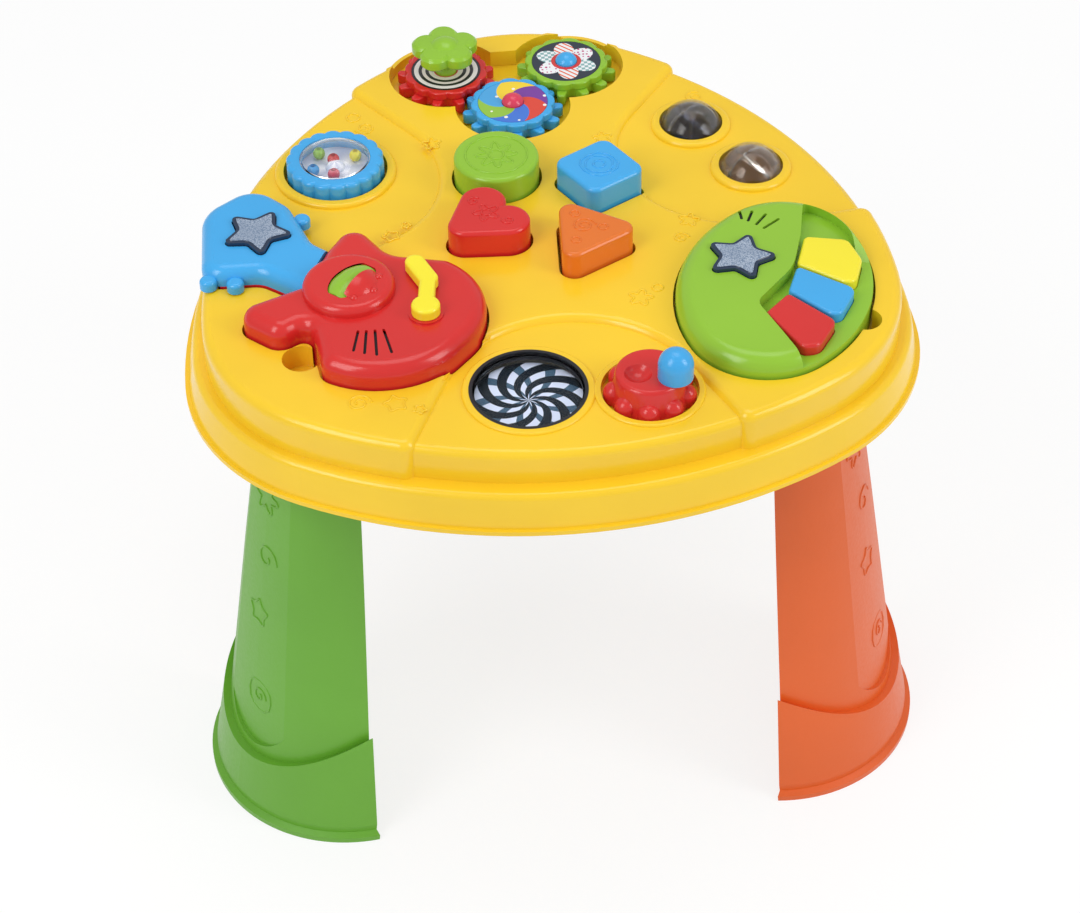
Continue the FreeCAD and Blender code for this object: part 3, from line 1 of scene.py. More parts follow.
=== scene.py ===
import json
import math
import bpy
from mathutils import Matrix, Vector

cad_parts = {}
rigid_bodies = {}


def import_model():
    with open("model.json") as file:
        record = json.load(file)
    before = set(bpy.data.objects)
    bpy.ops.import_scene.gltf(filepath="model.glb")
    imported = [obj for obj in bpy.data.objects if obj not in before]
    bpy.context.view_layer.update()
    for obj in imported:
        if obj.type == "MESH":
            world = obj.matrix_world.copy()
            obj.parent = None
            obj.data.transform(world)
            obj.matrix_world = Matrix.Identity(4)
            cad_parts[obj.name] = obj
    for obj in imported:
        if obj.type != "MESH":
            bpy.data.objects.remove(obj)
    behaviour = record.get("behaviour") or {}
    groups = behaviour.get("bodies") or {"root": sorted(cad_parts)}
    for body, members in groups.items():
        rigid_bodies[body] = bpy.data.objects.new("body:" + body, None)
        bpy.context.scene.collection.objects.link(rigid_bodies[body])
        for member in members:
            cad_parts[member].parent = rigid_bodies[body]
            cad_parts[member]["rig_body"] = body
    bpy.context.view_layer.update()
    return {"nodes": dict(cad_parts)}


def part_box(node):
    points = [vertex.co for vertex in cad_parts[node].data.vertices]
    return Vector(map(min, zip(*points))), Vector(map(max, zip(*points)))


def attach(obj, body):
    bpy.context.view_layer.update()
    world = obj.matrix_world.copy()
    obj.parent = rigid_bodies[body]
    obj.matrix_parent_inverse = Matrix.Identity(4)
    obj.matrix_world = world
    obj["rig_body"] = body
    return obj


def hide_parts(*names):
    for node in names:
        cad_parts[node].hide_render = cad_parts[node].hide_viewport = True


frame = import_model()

nodes = frame["nodes"]
axisShift = 0.024376  # the table's own axis lies this far behind the frame's origin


def onTop(x, y, z=0.0):
    # millimetres about the table's own axis, made metres in the frame
    return Vector((x / 1000, y / 1000 - axisShift, z / 1000))


def onUnit(unit, u, v, z):
    # millimetres in the plane of the guitar or the keyboard
    turn = math.radians(unit["turn"])
    x = unit["at"][0] + u * math.cos(turn) - v * math.sin(turn)
    y = unit["at"][1] + u * math.sin(turn) + v * math.cos(turn)
    return onTop(x, y, z)


def tone(red, green, blue):
    # a colour as it looks on screen, made linear
    parts = []
    for value in (red, green, blue):
        share = value / 255
        parts.append(share / 12.92 if share < 0.04045 else ((share + 0.055) / 1.055) ** 2.4)
    return (*parts, 1.0)


guitarPlace = {"at": (-100.0, -75.0), "turn": -42.0}
keyboardPlace = {"at": (137.8, -73.7), "turn": -20.0}


def clearSelection():
    if bpy.context.object and bpy.context.object.mode != "OBJECT":
        bpy.ops.object.mode_set(mode="OBJECT")
    bpy.ops.object.select_all(action="DESELECT")


def makeActive(piece):
    clearSelection()
    piece.select_set(True)
    bpy.context.view_layer.objects.active = piece


def finishPiece(piece, name, body, materials, smoothTo=35):
    # the finished piece sits at the origin, with its place in its mesh
    makeActive(piece)
    bpy.ops.object.transform_apply(location=True, rotation=True, scale=True)
    piece.name = name
    piece.data.name = name
    if materials:
        piece.data.materials.clear()
        for material in materials:
            piece.data.materials.append(material)
    bpy.ops.object.shade_smooth_by_angle(angle=math.radians(smoothTo))
    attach(piece, body)
    return piece


def applyModifier(piece, kind, **settings):
    makeActive(piece)
    modifier = piece.modifiers.new(kind.title(), kind)
    for key, value in settings.items():
        setattr(modifier, key, value)
    bpy.ops.object.modifier_apply(modifier=modifier.name)


def joinPieces(pieces):
    makeActive(pieces[0])
    for piece in pieces[1:]:
        piece.select_set(True)
    if len(pieces) > 1:
        bpy.ops.object.join()
    return bpy.context.object


# materials


def newMaterial(name):
    material = bpy.data.materials.new(name)
    material.use_nodes = True
    return material, material.node_tree, material.node_tree.nodes["Principled BSDF"]


def addNode(tree, kind, **settings):
    made = tree.nodes.new(kind)
    for key, value in settings.items():
        setattr(made, key, value)
    return made


def reckon(tree, operation, *terms):
    # one Math node; a term is a number or another node's output
    made = addNode(tree, "ShaderNodeMath", operation=operation)
    for place, term in enumerate(terms):
        if isinstance(term, (int, float)):
            made.inputs[place].default_value = term
        else:
            tree.links.new(term, made.inputs[place])
    return made.outputs[0]


def paint(tree, share, under, over):
    # under where share is 0, over where it is 1
    made = addNode(tree, "ShaderNodeMix", data_type="RGBA")
    for socket, term in ((made.inputs[0], share), (made.inputs[6], under), (made.inputs[7], over)):
        if isinstance(term, (int, float, tuple)):
            socket.default_value = term
        else:
            tree.links.new(term, socket)
    return made.outputs[2]


def objectPoint(tree, centre=(0, 0, 0), turn=0.0):
    coordinates = addNode(tree, "ShaderNodeTexCoord")
    mapping = addNode(tree, "ShaderNodeMapping", vector_type="TEXTURE")
    mapping.inputs["Location"].default_value = centre
    mapping.inputs["Rotation"].default_value = (0, 0, math.radians(turn))
    tree.links.new(coordinates.outputs["Object"], mapping.inputs["Vector"])
    return mapping.outputs["Vector"]


def noise(tree, point, scale, detail=2.0):
    made = addNode(tree, "ShaderNodeTexNoise")
    made.inputs["Scale"].default_value = scale
    made.inputs["Detail"].default_value = detail
    tree.links.new(point, made.inputs["Vector"])
    return made.outputs["Fac"]


noiseRange = {"low": 0.3, "high": 0.7}  # where nearly all of a noise texture's values lie


def spread(tree, value, low, high):
    made = addNode(tree, "ShaderNodeMapRange")
    tree.links.new(value, made.inputs["Value"])
    made.inputs["From Min"].default_value = noiseRange["low"]
    made.inputs["From Max"].default_value = noiseRange["high"]
    made.inputs["To Min"].default_value = low
    made.inputs["To Max"].default_value = high
    return made.outputs["Result"]


def shade(colour, factor):
    return (*[min(1.0, part * factor) for part in colour[:3]], 1.0)


# how far the roughness strays from the gloss, and the depth of the skin in metres
skin = {"smoother": 0.04, "rougher": 0.05, "depth": 0.0004}


def addBump(tree, shader, height, strength):
    bump = addNode(tree, "ShaderNodeBump")
    bump.inputs["Strength"].default_value = strength
    bump.inputs["Distance"].default_value = skin["depth"]
    tree.links.new(height, bump.inputs["Height"])
    tree.links.new(bump.outputs["Normal"], shader.inputs["Normal"])


def dressPlastic(tree, shader, colour, finish):
    # flow marks in the colour, a grained gloss, and a very fine uneven skin
    point = objectPoint(tree)
    flow = noise(tree, point, finish["flowScale"], 3.0)
    mottled = paint(tree, spread(tree, flow, 0, 1), shade(colour, 1 - finish["mottle"]),
                    shade(colour, 1 + finish["mottle"]))
    tree.links.new(mottled, shader.inputs["Base Color"])
    grain = noise(tree, point, finish["grainScale"])
    smoothest, roughest = finish["gloss"] - skin["smoother"], finish["gloss"] + skin["rougher"]
    tree.links.new(spread(tree, grain, smoothest, roughest), shader.inputs["Roughness"])
    addBump(tree, shader, grain, finish["bump"])


glossy = {"flowScale": 9.0, "mottle": 0.05, "grainScale": 160.0, "gloss": 0.2, "bump": 0.10}
satin = {"flowScale": 7.0, "mottle": 0.06, "grainScale": 420.0, "gloss": 0.38, "bump": 0.22}
dull = {"flowScale": 12.0, "mottle": 0.05, "grainScale": 500.0, "gloss": 0.55, "bump": 0.2}

colours = {
    "tableYellow": (251, 207, 42),
    "legGreen": (106, 172, 48),
    "legOrange": (228, 100, 36),
    "legBlue": (52, 140, 214),
    "toyRed": (216, 44, 42),
    "toyGreen": (146, 196, 52),
    "toyBlue": (66, 172, 236),
    "toyOrange": (230, 118, 38),
    "toyYellow": (253, 236, 50),
    "toyPink": (222, 62, 92),
    "innerGrey": (188, 186, 178),
    # painted shade: the ball cradles get a browner amber that stands for the yellow table in shade,
    # seen through the balls
    "paintedShadeAmber": (246, 190, 96),
    "darkPlastic": (26, 28, 34),
    "boardGreen": (26, 92, 48),
}


def plastic(name, finish):
    material, tree, shader = newMaterial(name)
    dressPlastic(tree, shader, tone(*colours[name]), finish)
    return material


mats = {}
for name in ("tableYellow", "toyRed", "toyGreen", "toyBlue", "toyOrange", "toyYellow", "toyPink"):
    mats[name] = plastic(name, glossy)
for name in ("legGreen", "legOrange", "legBlue"):
    mats[name] = plastic(name, satin)
for name in ("innerGrey", "paintedShadeAmber", "darkPlastic", "boardGreen"):
    mats[name] = plastic(name, dull)


# bend is the index of refraction; body is how much of the light meets the plastic,
# while the rest passes straight through
clearKinds = {
    "clear": {"name": "clearPlastic", "tint": (0.97, 0.98, 0.99, 1.0),
              "rough": 0.0, "bend": 1.45, "body": 1.0},
    "clearBlue": {"name": "clearBlue", "tint": (0.30, 0.42, 0.95, 1.0),
                  "rough": 0.05, "bend": 1.45, "body": 0.6},
    # painted shade: the warm tint stands for the yellow pocket in shade seen through the balls
    "clearPaintedShade": {"name": "clearPaintedShade", "tint": (0.97, 0.90, 0.80, 1.0),
                   "rough": 0.0, "bend": 1.45, "body": 0.34},
    "clearWindow": {"name": "clearWindow", "tint": (0.98, 0.99, 1.0, 1.0),
                    "rough": 0.0, "bend": 1.12, "body": 1.0},
}
clearSkin = {"scale": 60.0, "rougher": 0.03}
steelSkin = {
    "cloudScale": 90.0, "shade": 0.8, "grainScale": 300.0, "smoothest": 0.25, "roughest": 0.4,
}
steelKinds = {"screwSteel": (0.62, 0.62, 0.64, 1.0), "batterySteel": (0.55, 0.56, 0.58, 1.0)}


def clearPlastic(values):
    material, tree, shader = newMaterial(values["name"])
    shader.inputs["Base Color"].default_value = values["tint"]
    shader.inputs["Transmission Weight"].default_value = 1.0
    shader.inputs["IOR"].default_value = values["bend"]
    shader.inputs["Alpha"].default_value = values["body"]
    haze = noise(tree, objectPoint(tree), clearSkin["scale"])
    tree.links.new(spread(tree, haze, values["rough"], values["rough"] + clearSkin["rougher"]),
                   shader.inputs["Roughness"])
    return material


def steel(name, colour, values):
    material, tree, shader = newMaterial(name)
    shader.inputs["Metallic"].default_value = 1.0
    point = objectPoint(tree)
    cloud = spread(tree, noise(tree, point, values["cloudScale"]), 0, 1)
    mottled = paint(tree, cloud, shade(colour, values["shade"]), colour)
    tree.links.new(mottled, shader.inputs["Base Color"])
    grain = noise(tree, point, values["grainScale"])
    tree.links.new(spread(tree, grain, values["smoothest"], values["roughest"]),
                   shader.inputs["Roughness"])
    return material


for name, values in clearKinds.items():
    mats[name] = clearPlastic(values)
for name, colour in steelKinds.items():
    mats[name] = steel(name, colour, steelSkin)
print("plastics ready")


def polarOf(tree, centre, turn=0.0):
    # distance from a centre in metres, and angle in turns from 0 to 1
    point = objectPoint(tree, centre, turn)
    split = addNode(tree, "ShaderNodeSeparateXYZ")
    tree.links.new(point, split.inputs[0])
    flat = addNode(tree, "ShaderNodeCombineXYZ")
    tree.links.new(split.outputs[0], flat.inputs[0])
    tree.links.new(split.outputs[1], flat.inputs[1])
    length = addNode(tree, "ShaderNodeVectorMath", operation="LENGTH")
    tree.links.new(flat.outputs[0], length.inputs[0])
    angle = reckon(tree, "ARCTAN2", split.outputs[1], split.outputs[0])
    turns = reckon(tree, "ADD", reckon(tree, "DIVIDE", angle, 2 * math.pi), 0.5)
    return length.outputs["Value"], turns, flat.outputs[0]


def printedGloss(shader):
    shader.inputs["Roughness"].default_value = 0.28
    shader.inputs["Coat Weight"].default_value = 0.4
    shader.inputs["Coat Roughness"].default_value = 0.12


ringPrint = {
    "centre": onTop(-45.2, 189.7),
    "radius": 0.0236,
    # share of the radius where each band ends, and its colour
    "bands": ((0.36, (232, 60, 60)), (0.50, (250, 236, 232)), (0.60, (20, 22, 32)),
              (0.70, (250, 236, 234)), (0.80, (20, 22, 32)), (0.93, (252, 244, 244)),
              (1.0, (24, 24, 36))),
}


def makeRingPrint(values):
    material, tree, shader = newMaterial("ringPrint")
    distance = polarOf(tree, values["centre"])[0]
    socket = tone(*values["bands"][-1][1])
    for end, band in reversed(values["bands"][:-1]):
        inside = reckon(tree, "LESS_THAN", distance, end * values["radius"])
        socket = paint(tree, inside, socket, tone(*band))
    tree.links.new(socket, shader.inputs["Base Color"])
    printedGloss(shader)
    return material


def dotsOn(tree, flat, values):
    # 1 inside a scattered dot, 0 between them
    dots = addNode(tree, "ShaderNodeTexVoronoi")
    dots.inputs["Scale"].default_value = values["dotScale"]
    dots.inputs["Randomness"].default_value = values["dotStray"]
    tree.links.new(flat, dots.inputs["Vector"])
    return reckon(tree, "LESS_THAN", dots.outputs["Distance"], values["dotSize"])


patchPrint = {
    "centre": onTop(38.2, 189.7),
    "radius": 0.0236,
    "lobes": 6,
    "ground": (22, 38, 58),
    "paper": (246, 248, 250),
    "inks": ((196, 40, 120), (236, 96, 40), (40, 150, 150)),
    "ring": (222, 48, 44),
    # shares of the radius: the scalloped edge at its lowest, its rise, and the ring in the middle
    "edge": 0.60, "rise": 0.32, "ringShare": 0.44,
    "dotScale": 330, "dotStray": 0.35, "dotSize": 0.30,
    "stripeScale": 130, "stripeShare": 0.72,
    "checkScale": 420, "checkInk": 0.75,
}


def makePatchPrint(values):
    # scalloped white ring on a dark ground, printed with dots, stripes and checks in turn
    material, tree, shader = newMaterial("patchPrint")
    distance, turns, flat = polarOf(tree, values["centre"])
    angle = reckon(tree, "MULTIPLY", turns, math.pi * values["lobes"])
    wave = reckon(tree, "ABSOLUTE", reckon(tree, "SINE", angle))
    edge = reckon(tree, "MULTIPLY_ADD", wave, values["rise"] * values["radius"],
                  values["edge"] * values["radius"])
    onPaper = reckon(tree, "LESS_THAN", distance, edge)
    dotInk = dotsOn(tree, flat, values)
    stripes = addNode(tree, "ShaderNodeTexWave", bands_direction="DIAGONAL")
    stripes.inputs["Scale"].default_value = values["stripeScale"]
    tree.links.new(flat, stripes.inputs["Vector"])
    stripeInk = reckon(tree, "GREATER_THAN", stripes.outputs["Fac"], values["stripeShare"])
    checks = addNode(tree, "ShaderNodeTexChecker")
    checks.inputs["Scale"].default_value = values["checkScale"]
    tree.links.new(flat, checks.inputs["Vector"])
    checkInk = reckon(tree, "MULTIPLY", checks.outputs["Fac"], values["checkInk"])
    sector = reckon(tree, "FLOOR", reckon(tree, "MULTIPLY", turns, values["lobes"]))
    kind = reckon(tree, "MODULO", sector, float(len(values["inks"])))
    paper = tone(*values["paper"])
    first = paint(tree, dotInk, paper, tone(*values["inks"][0]))
    second = paint(tree, stripeInk, paper, tone(*values["inks"][1]))
    third = paint(tree, checkInk, paper, tone(*values["inks"][2]))
    printed = paint(tree, reckon(tree, "GREATER_THAN", kind, 0.5), first, second)
    printed = paint(tree, reckon(tree, "GREATER_THAN", kind, 1.5), printed, third)
    socket = paint(tree, onPaper, tone(*values["ground"]), printed)
    inRing = reckon(tree, "LESS_THAN", distance, values["ringShare"] * values["radius"])
    socket = paint(tree, inRing, socket, tone(*values["ring"]))
    tree.links.new(socket, shader.inputs["Base Color"])
    printedGloss(shader)
    return material


sectorPrint = {
    "centre": onTop(-3.5, 146.5),
    "twist": 9.0,
    "inks": ((70, 170, 232), (150, 200, 60), (60, 120, 220), (226, 64, 40), (120, 50, 160),
             (250, 216, 40)),
    "dot": (252, 250, 240),
    "dotScale": 150, "dotStray": 0.8, "dotSize": 0.2,
}


def makeSectorPrint(values):
    # bright curved sectors with small pale dots
    material, tree, shader = newMaterial("sectorPrint")
    distance, turns, flat = polarOf(tree, values["centre"])
    bent = reckon(tree, "FRACT", reckon(tree, "MULTIPLY_ADD", distance, values["twist"], turns))
    socket = tone(*values["inks"][0])
    for place, ink in enumerate(values["inks"][1:], 1):
        after = reckon(tree, "GREATER_THAN", bent, place / len(values["inks"]))
        socket = paint(tree, after, socket, tone(*ink))
    socket = paint(tree, dotsOn(tree, flat, values), socket, tone(*values["dot"]))
    tree.links.new(socket, shader.inputs["Base Color"])
    printedGloss(shader)
    return material


swirlPrint = {
    "centre": onTop(-25.0, -143.0),
    "petals": 9,
    "twist": 46.0,
    "backTwist": 0.35,
    # sine above which each set of rays is inked
    "backInk": 0.45, "foreInk": -0.12,
    "pale": (214, 222, 242),
    "dark": (12, 26, 38),
    "mid": (66, 94, 118),
}


def makeSwirlPrint(values):
    # two sets of curved rays, one wound each way
    material, tree, shader = newMaterial("swirlPrint")
    distance, turns = polarOf(tree, values["centre"])[:2]
    angle = reckon(tree, "MULTIPLY", turns, 2 * math.pi * values["petals"])
    bend = reckon(tree, "MULTIPLY", distance, values["twist"] * values["petals"])
    forward = reckon(tree, "SINE", reckon(tree, "ADD", angle, bend))
    backBend = reckon(tree, "MULTIPLY", bend, values["backTwist"])
    backward = reckon(tree, "SINE", reckon(tree, "SUBTRACT", angle, backBend))
    behind = reckon(tree, "GREATER_THAN", backward, values["backInk"])
    before = reckon(tree, "GREATER_THAN", forward, values["foreInk"])
    socket = paint(tree, behind, tone(*values["pale"]), tone(*values["mid"]))
    socket = paint(tree, before, socket, tone(*values["dark"]))
    tree.links.new(socket, shader.inputs["Base Color"])
    shader.inputs["Roughness"].default_value = 0.3
    shader.inputs["Specular IOR Level"].default_value = 0.15
    return material


starMesh = {
    "silver": (196, 208, 224), "shadow": (118, 138, 166), "border": (34, 52, 78),
    "weaveTurn": 45, "weaveScale": 1100, "cloudScale": 45.0, "cloudShare": 0.5, "bump": 0.6,
}


def makeStarMesh(values):
    # silver cloth with a fine woven sparkle
    material, tree, shader = newMaterial("starMesh")
    point = objectPoint(tree, turn=values["weaveTurn"])
    cells = addNode(tree, "ShaderNodeTexVoronoi")
    cells.inputs["Scale"].default_value = values["weaveScale"]
    tree.links.new(point, cells.inputs["Vector"])
    weave = spread(tree, cells.outputs["Distance"], 0, 1)
    cloud = spread(tree, noise(tree, point, values["cloudScale"]), 0, values["cloudShare"])
    silver = paint(tree, cloud, tone(*values["silver"]), tone(*values["shadow"]))
    tree.links.new(paint(tree, weave, silver, tone(*values["shadow"])), shader.inputs["Base Color"])
    shader.inputs["Metallic"].default_value = 0.2
    shader.inputs["Roughness"].default_value = 0.42
    addBump(tree, shader, cells.outputs["Distance"], values["bump"])
    border, borderTree, borderShader = newMaterial("starBorder")
    dressPlastic(borderTree, borderShader, tone(*values["border"]), glossy)
    return material, border


rattleCentre = (-127.5, 92.0)
foil = {
    "light": (246, 246, 252), "dark": (196, 202, 224), "centre": onTop(*rattleCentre), "vanes": 5,
}


def makeFoil(values):
    # pearly floor of the rattle, with painted light and shade: its wedges are coloured lighter and
    # darker in turn, as facets catching the light
    material, tree, shader = newMaterial("pearlFoil")
    turns = polarOf(tree, values["centre"])[1]
    # painted light and shade: the colour ramps between light and dark around the centre, wedge by
    # wedge
    wedge = reckon(tree, "PINGPONG", reckon(tree, "MULTIPLY", turns, values["vanes"] * 2.0), 1.0)
    tree.links.new(paint(tree, wedge, tone(*values["light"]), tone(*values["dark"])),
                   shader.inputs["Base Color"])
    shader.inputs["Metallic"].default_value = 0.1
    shader.inputs["Roughness"].default_value = 0.25
    return material


mats["ringPrint"] = makeRingPrint(ringPrint)
mats["patchPrint"] = makePatchPrint(patchPrint)
mats["sectorPrint"] = makeSectorPrint(sectorPrint)
mats["swirlPrint"] = makeSwirlPrint(swirlPrint)
mats["starMesh"], mats["starBorder"] = makeStarMesh(starMesh)
mats["pearlFoil"] = makeFoil(foil)
print("prints ready")

# the moulded parts themselves

nodeMaterials = {
    "tableYellow": ("table_top", "wheel_pins"),
    "legGreen": ("leg_front_left",),
    "legOrange": ("leg_front_right",),
    "legBlue": ("leg_back",),
    "toyRed": ("gear_red", "block_heart", "guitar_back", "guitar_body", "guitar_battery_door",
               "key_red", "crank_dial", "rattle_beads"),
    "toyGreen": ("gear_green", "flower_knob", "block_round", "guitar_roller", "piano_back",
                 "piano_top", "piano_battery_door"),
    "toyBlue": ("gear_blue", "gear_green_hub", "rattle_ring", "block_square", "guitar_neck",
                "key_blue", "crank_knob"),
    "toyOrange": ("block_triangle",),
    "toyYellow": ("guitar_lever", "key_yellow"),
    "toyPink": ("gear_blue_hub",),
    "innerGrey": ("drive_cover", "crank_gear", "swirl_gear"),
    # painted shade: the cradles under the balls are coloured as yellow in shade
    "paintedShadeAmber": ("ball_cradles",),
    "darkPlastic": ("swirl_bezel", "guitar_speaker", "guitar_switch", "piano_speaker",
                    "piano_switches"),
    "boardGreen": ("guitar_board", "piano_board"),
    "screwSteel": ("table_screws", "guitar_screws", "piano_screws"),
    "batterySteel": ("guitar_batteries", "piano_batteries"),
    "clear": ("rattle_dome", "ball_core_2"),
    # painted shade: the balls' warm tint stands for shaded yellow seen through them
    "clearPaintedShade": ("ball_1", "ball_2"),
    "clearWindow": ("swirl_window",),
    "clearBlue": ("ball_core_1",),
    "ringPrint": ("gear_red_print",),
    "patchPrint": ("gear_green_print",),
    "sectorPrint": ("gear_blue_print",),
    "swirlPrint": ("swirl_disc",),
    "starBorder": ("guitar_star", "piano_star"),
    "pearlFoil": ("rattle_base",),
}
for materialName, names in nodeMaterials.items():
    for nodeName in names:
        mesh = nodes[nodeName].data
        mesh.materials.clear()
        mesh.materials.append(mats[materialName])

softened = {
    # node: width of the rounded edge in metres
    "gear_red": 0.0006, "gear_blue": 0.0006, "gear_green": 0.0006, "flower_knob": 0.0014,
    "rattle_ring": 0.0010, "guitar_roller": 0.0006, "crank_dial": 0.0009, "key_yellow": 0.0006,
    "key_blue": 0.0006, "key_red": 0.0006,
}
# sameSpot is in metres, the angles in degrees
softening = {"sameSpot": 0.000004, "flat": 1.0, "edge": 34, "rounds": 3, "smoothTo": 40}


def softenNode(nodeName, width, values):
    # a copy of the moulded part whose sharp edges are rounded as the tool leaves them
    source = nodes[nodeName]
    piece = bpy.data.objects.new(nodeName + "Soft", source.data.copy())
    bpy.context.scene.collection.objects.link(piece)
    makeActive(piece)
    bpy.ops.mesh.customdata_custom_splitnormals_clear()
    bpy.ops.object.mode_set(mode="EDIT")
    bpy.ops.mesh.select_all(action="SELECT")
    bpy.ops.mesh.remove_doubles(threshold=values["sameSpot"])
    bpy.ops.mesh.dissolve_limited(angle_limit=math.radians(values["flat"]))
    bpy.ops.object.mode_set(mode="OBJECT")
    applyModifier(piece, "BEVEL", width=width, segments=values["rounds"], limit_method="ANGLE",
                  angle_limit=math.radians(values["edge"]), use_clamp_overlap=True,
                  harden_normals=False)
    bodyName = source["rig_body"]
    finishPiece(piece, nodeName + "Soft", bodyName, None, values["smoothTo"])
    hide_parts(nodeName)


for nodeName, width in softened.items():
    softenNode(nodeName, width, softening)
print("edges softened")

# stars on the two buttons

starCap = {
    # metres
    "tip": 0.0244, "waist": 0.0126, "tipRound": 0.0076, "waistRound": 0.003, "rim": 0.0014,
    "thick": 0.0007,
    # corners of the outline, points on each rounded corner, and how many times too large it is
    # drawn, so that the insets stay exact
    "corners": 10, "steps": 5, "drawn": 100,
    # run of the raised middle's edge as drawn, share of the thickness from where it is cloth,
    # and how many millimetres the cap is sunk into the button
    "edgeRun": 0.05, "clothFrom": 0.6, "sunk": 0.2,
}
starPlaces = (
    # piece, body, node under it, unit, place in the unit, turn
    ("guitarStarCap", "guitar_star", "guitar_star", guitarPlace, (-118.0, 9.0), 29.0),
    ("keyboardStarCap", "keyboard_star", "piano_star", keyboardPlace, (-24.3, 12.4), 14.2),
)


def roundedStar(values):
    # the outline's points, each corner drawn as a curve between two points near it
    count, steps = values["corners"], values["steps"]
    corners = []
    for place in range(count):
        reach = values["drawn"] * (values["tip"] if place % 2 == 0 else values["waist"])
        way = place * 2 * math.pi / count
        corners.append(Vector((reach * math.cos(way), reach * math.sin(way), 0)))
    outline = []
    for place, corner in enumerate(corners):
        near = values["drawn"] * (values["tipRound"] if place % 2 == 0 else values["waistRound"])
        before = corner + (corners[place - 1] - corner).normalized() * near
        after = corner + (corners[(place + 1) % count] - corner).normalized() * near
        for step in range(steps):
            share = step / (steps - 1)
            outline.append(before * (1 - share) ** 2 + corner * 2 * share * (1 - share)
                           + after * share ** 2)
    return outline


def makeStarCap(name, body, nodeName, unit, uv, turn, values):
    # cloth star with a dark border, on the button's top face
    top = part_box(nodeName)[1].z
    bpy.ops.mesh.primitive_circle_add(vertices=values["corners"] * values["steps"], radius=1.0,
                                      fill_type="TRIFAN")
    piece = bpy.context.object
    rim = [vertex for vertex in piece.data.vertices if vertex.co.length > 0.5]
    for vertex, spot in zip(rim, roundedStar(values)):
        vertex.co = spot
    piece.data.update()
    facesDown = piece.data.polygons[0].normal.z < 0
    bpy.ops.object.mode_set(mode="EDIT")
    bpy.ops.mesh.select_all(action="SELECT")
    if facesDown:
        bpy.ops.mesh.flip_normals()
    bpy.ops.mesh.inset(thickness=values["drawn"] * values["rim"], depth=0.0)
    bpy.ops.mesh.inset(thickness=values["edgeRun"], depth=values["drawn"] * values["thick"])
    bpy.ops.object.mode_set(mode="OBJECT")
    piece.data.materials.clear()
    piece.data.materials.append(mats["starMesh"])
    piece.data.materials.append(mats["starBorder"])
    clothHeight = values["drawn"] * values["clothFrom"] * values["thick"]
    for face in piece.data.polygons:
        face.material_index = 0 if face.center.z > clothHeight else 1
    piece.scale = [1 / values["drawn"]] * 3
    piece.rotation_euler = (0, 0, math.radians(unit["turn"] + turn))
    piece.location = onUnit(unit, uv[0], uv[1], 1000 * top - values["sunk"])
    finishPiece(piece, name, body, None)


for place in starPlaces:
    makeStarCap(*place, starCap)
print("stars placed")

# beads in the rattle

beads = {
    "centre": rattleCentre, "height": 363.2, "size": 0.0040, "segments": 24, "rings": 14,
    # share of the size beyond which the ball is opened, and angle under which it looks smooth
    "cut": 0.97, "smoothTo": 60,
    # colour, distance from the middle and direction
    "set": (("toyRed", 5.0, 100), ("toyPink", 11.5, 262), ("toyYellow", 15.5, 28),
            ("toyGreen", 16.0, 128), ("toyBlue", 15.5, 200)),
}


def makeBead(name, where, values, materialName):
    # a pierced bead: a ball opened at both poles, with a wall down the hole
    bpy.ops.mesh.primitive_uv_sphere_add(segments=values["segments"], ring_count=values["rings"],
                                         radius=values["size"], location=where)
    piece = bpy.context.object
    bpy.ops.object.transform_apply(location=True)
    bpy.ops.object.mode_set(mode="EDIT")
    bpy.ops.mesh.select_all(action="DESELECT")
    bpy.ops.object.mode_set(mode="OBJECT")
    for vertex in piece.data.vertices:
        vertex.select = abs(vertex.co.z - where.z) > values["size"] * values["cut"]
    bpy.ops.object.mode_set(mode="EDIT")
    bpy.ops.mesh.delete(type="VERT")
    bpy.ops.mesh.select_all(action="DESELECT")
    bpy.ops.mesh.select_non_manifold()
    bpy.ops.mesh.bridge_edge_loops()
    bpy.ops.mesh.select_all(action="SELECT")
    bpy.ops.mesh.normals_make_consistent(inside=False)
    bpy.ops.object.mode_set(mode="OBJECT")
    return finishPiece(piece, name, "rattle", [mats[materialName]], values["smoothTo"])


for place, (materialName, distance, direction) in enumerate(beads["set"]):
    a = math.radians(direction)
    where = onTop(beads["centre"][0] + distance * math.cos(a),
                  beads["centre"][1] + distance * math.sin(a), beads["height"])
    makeBead("rattleBead%d" % (place + 1), where, beads, materialName)
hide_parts("rattle_beads")
print("beads placed")

# raised line reliefs


wire = {"order": 3, "stepsAlong": 3, "stepsRound": 2, "smoothTo": 60}


def wireLine(points, radius, closed):
    # a half-sunk round line through the given points
    bpy.ops.curve.primitive_nurbs_path_add()
    piece = bpy.context.object
    curve = piece.data
    curve.splines.clear()
    spline = curve.splines.new("NURBS")
    spline.points.add(len(points) - 1)
    for spot, place in zip(spline.points, points):
        spot.co = (*place, 1.0)
    spline.order_u = wire["order"]
    spline.use_cyclic_u = closed
    spline.use_endpoint_u = not closed
    curve.resolution_u = wire["stepsAlong"]
    curve.bevel_depth = radius
    curve.bevel_resolution = wire["stepsRound"]
    curve.use_fill_caps = True
    makeActive(piece)
    bpy.ops.object.convert(target="MESH")
    return bpy.context.object


def around(reach, angle):
    return (reach * math.cos(angle), reach * math.sin(angle))


def starLine(size, waist=0.45):
    reaches = (size, size * waist)
    return [around(reaches[k % 2], math.radians(36 * k + 90)) for k in range(10)]


def spiralLine(size, turns=1.6, steps=22, drawnIn=0.82):
    line = []
    for k in range(steps):
        share = k / (steps - 1)
        line.append(around(size * (1 - drawnIn * share), share * turns * 2 * math.pi))
    return line


def roundLine(size, steps=14):
    return [around(size, 2 * math.pi * k / steps) for k in range(steps)]


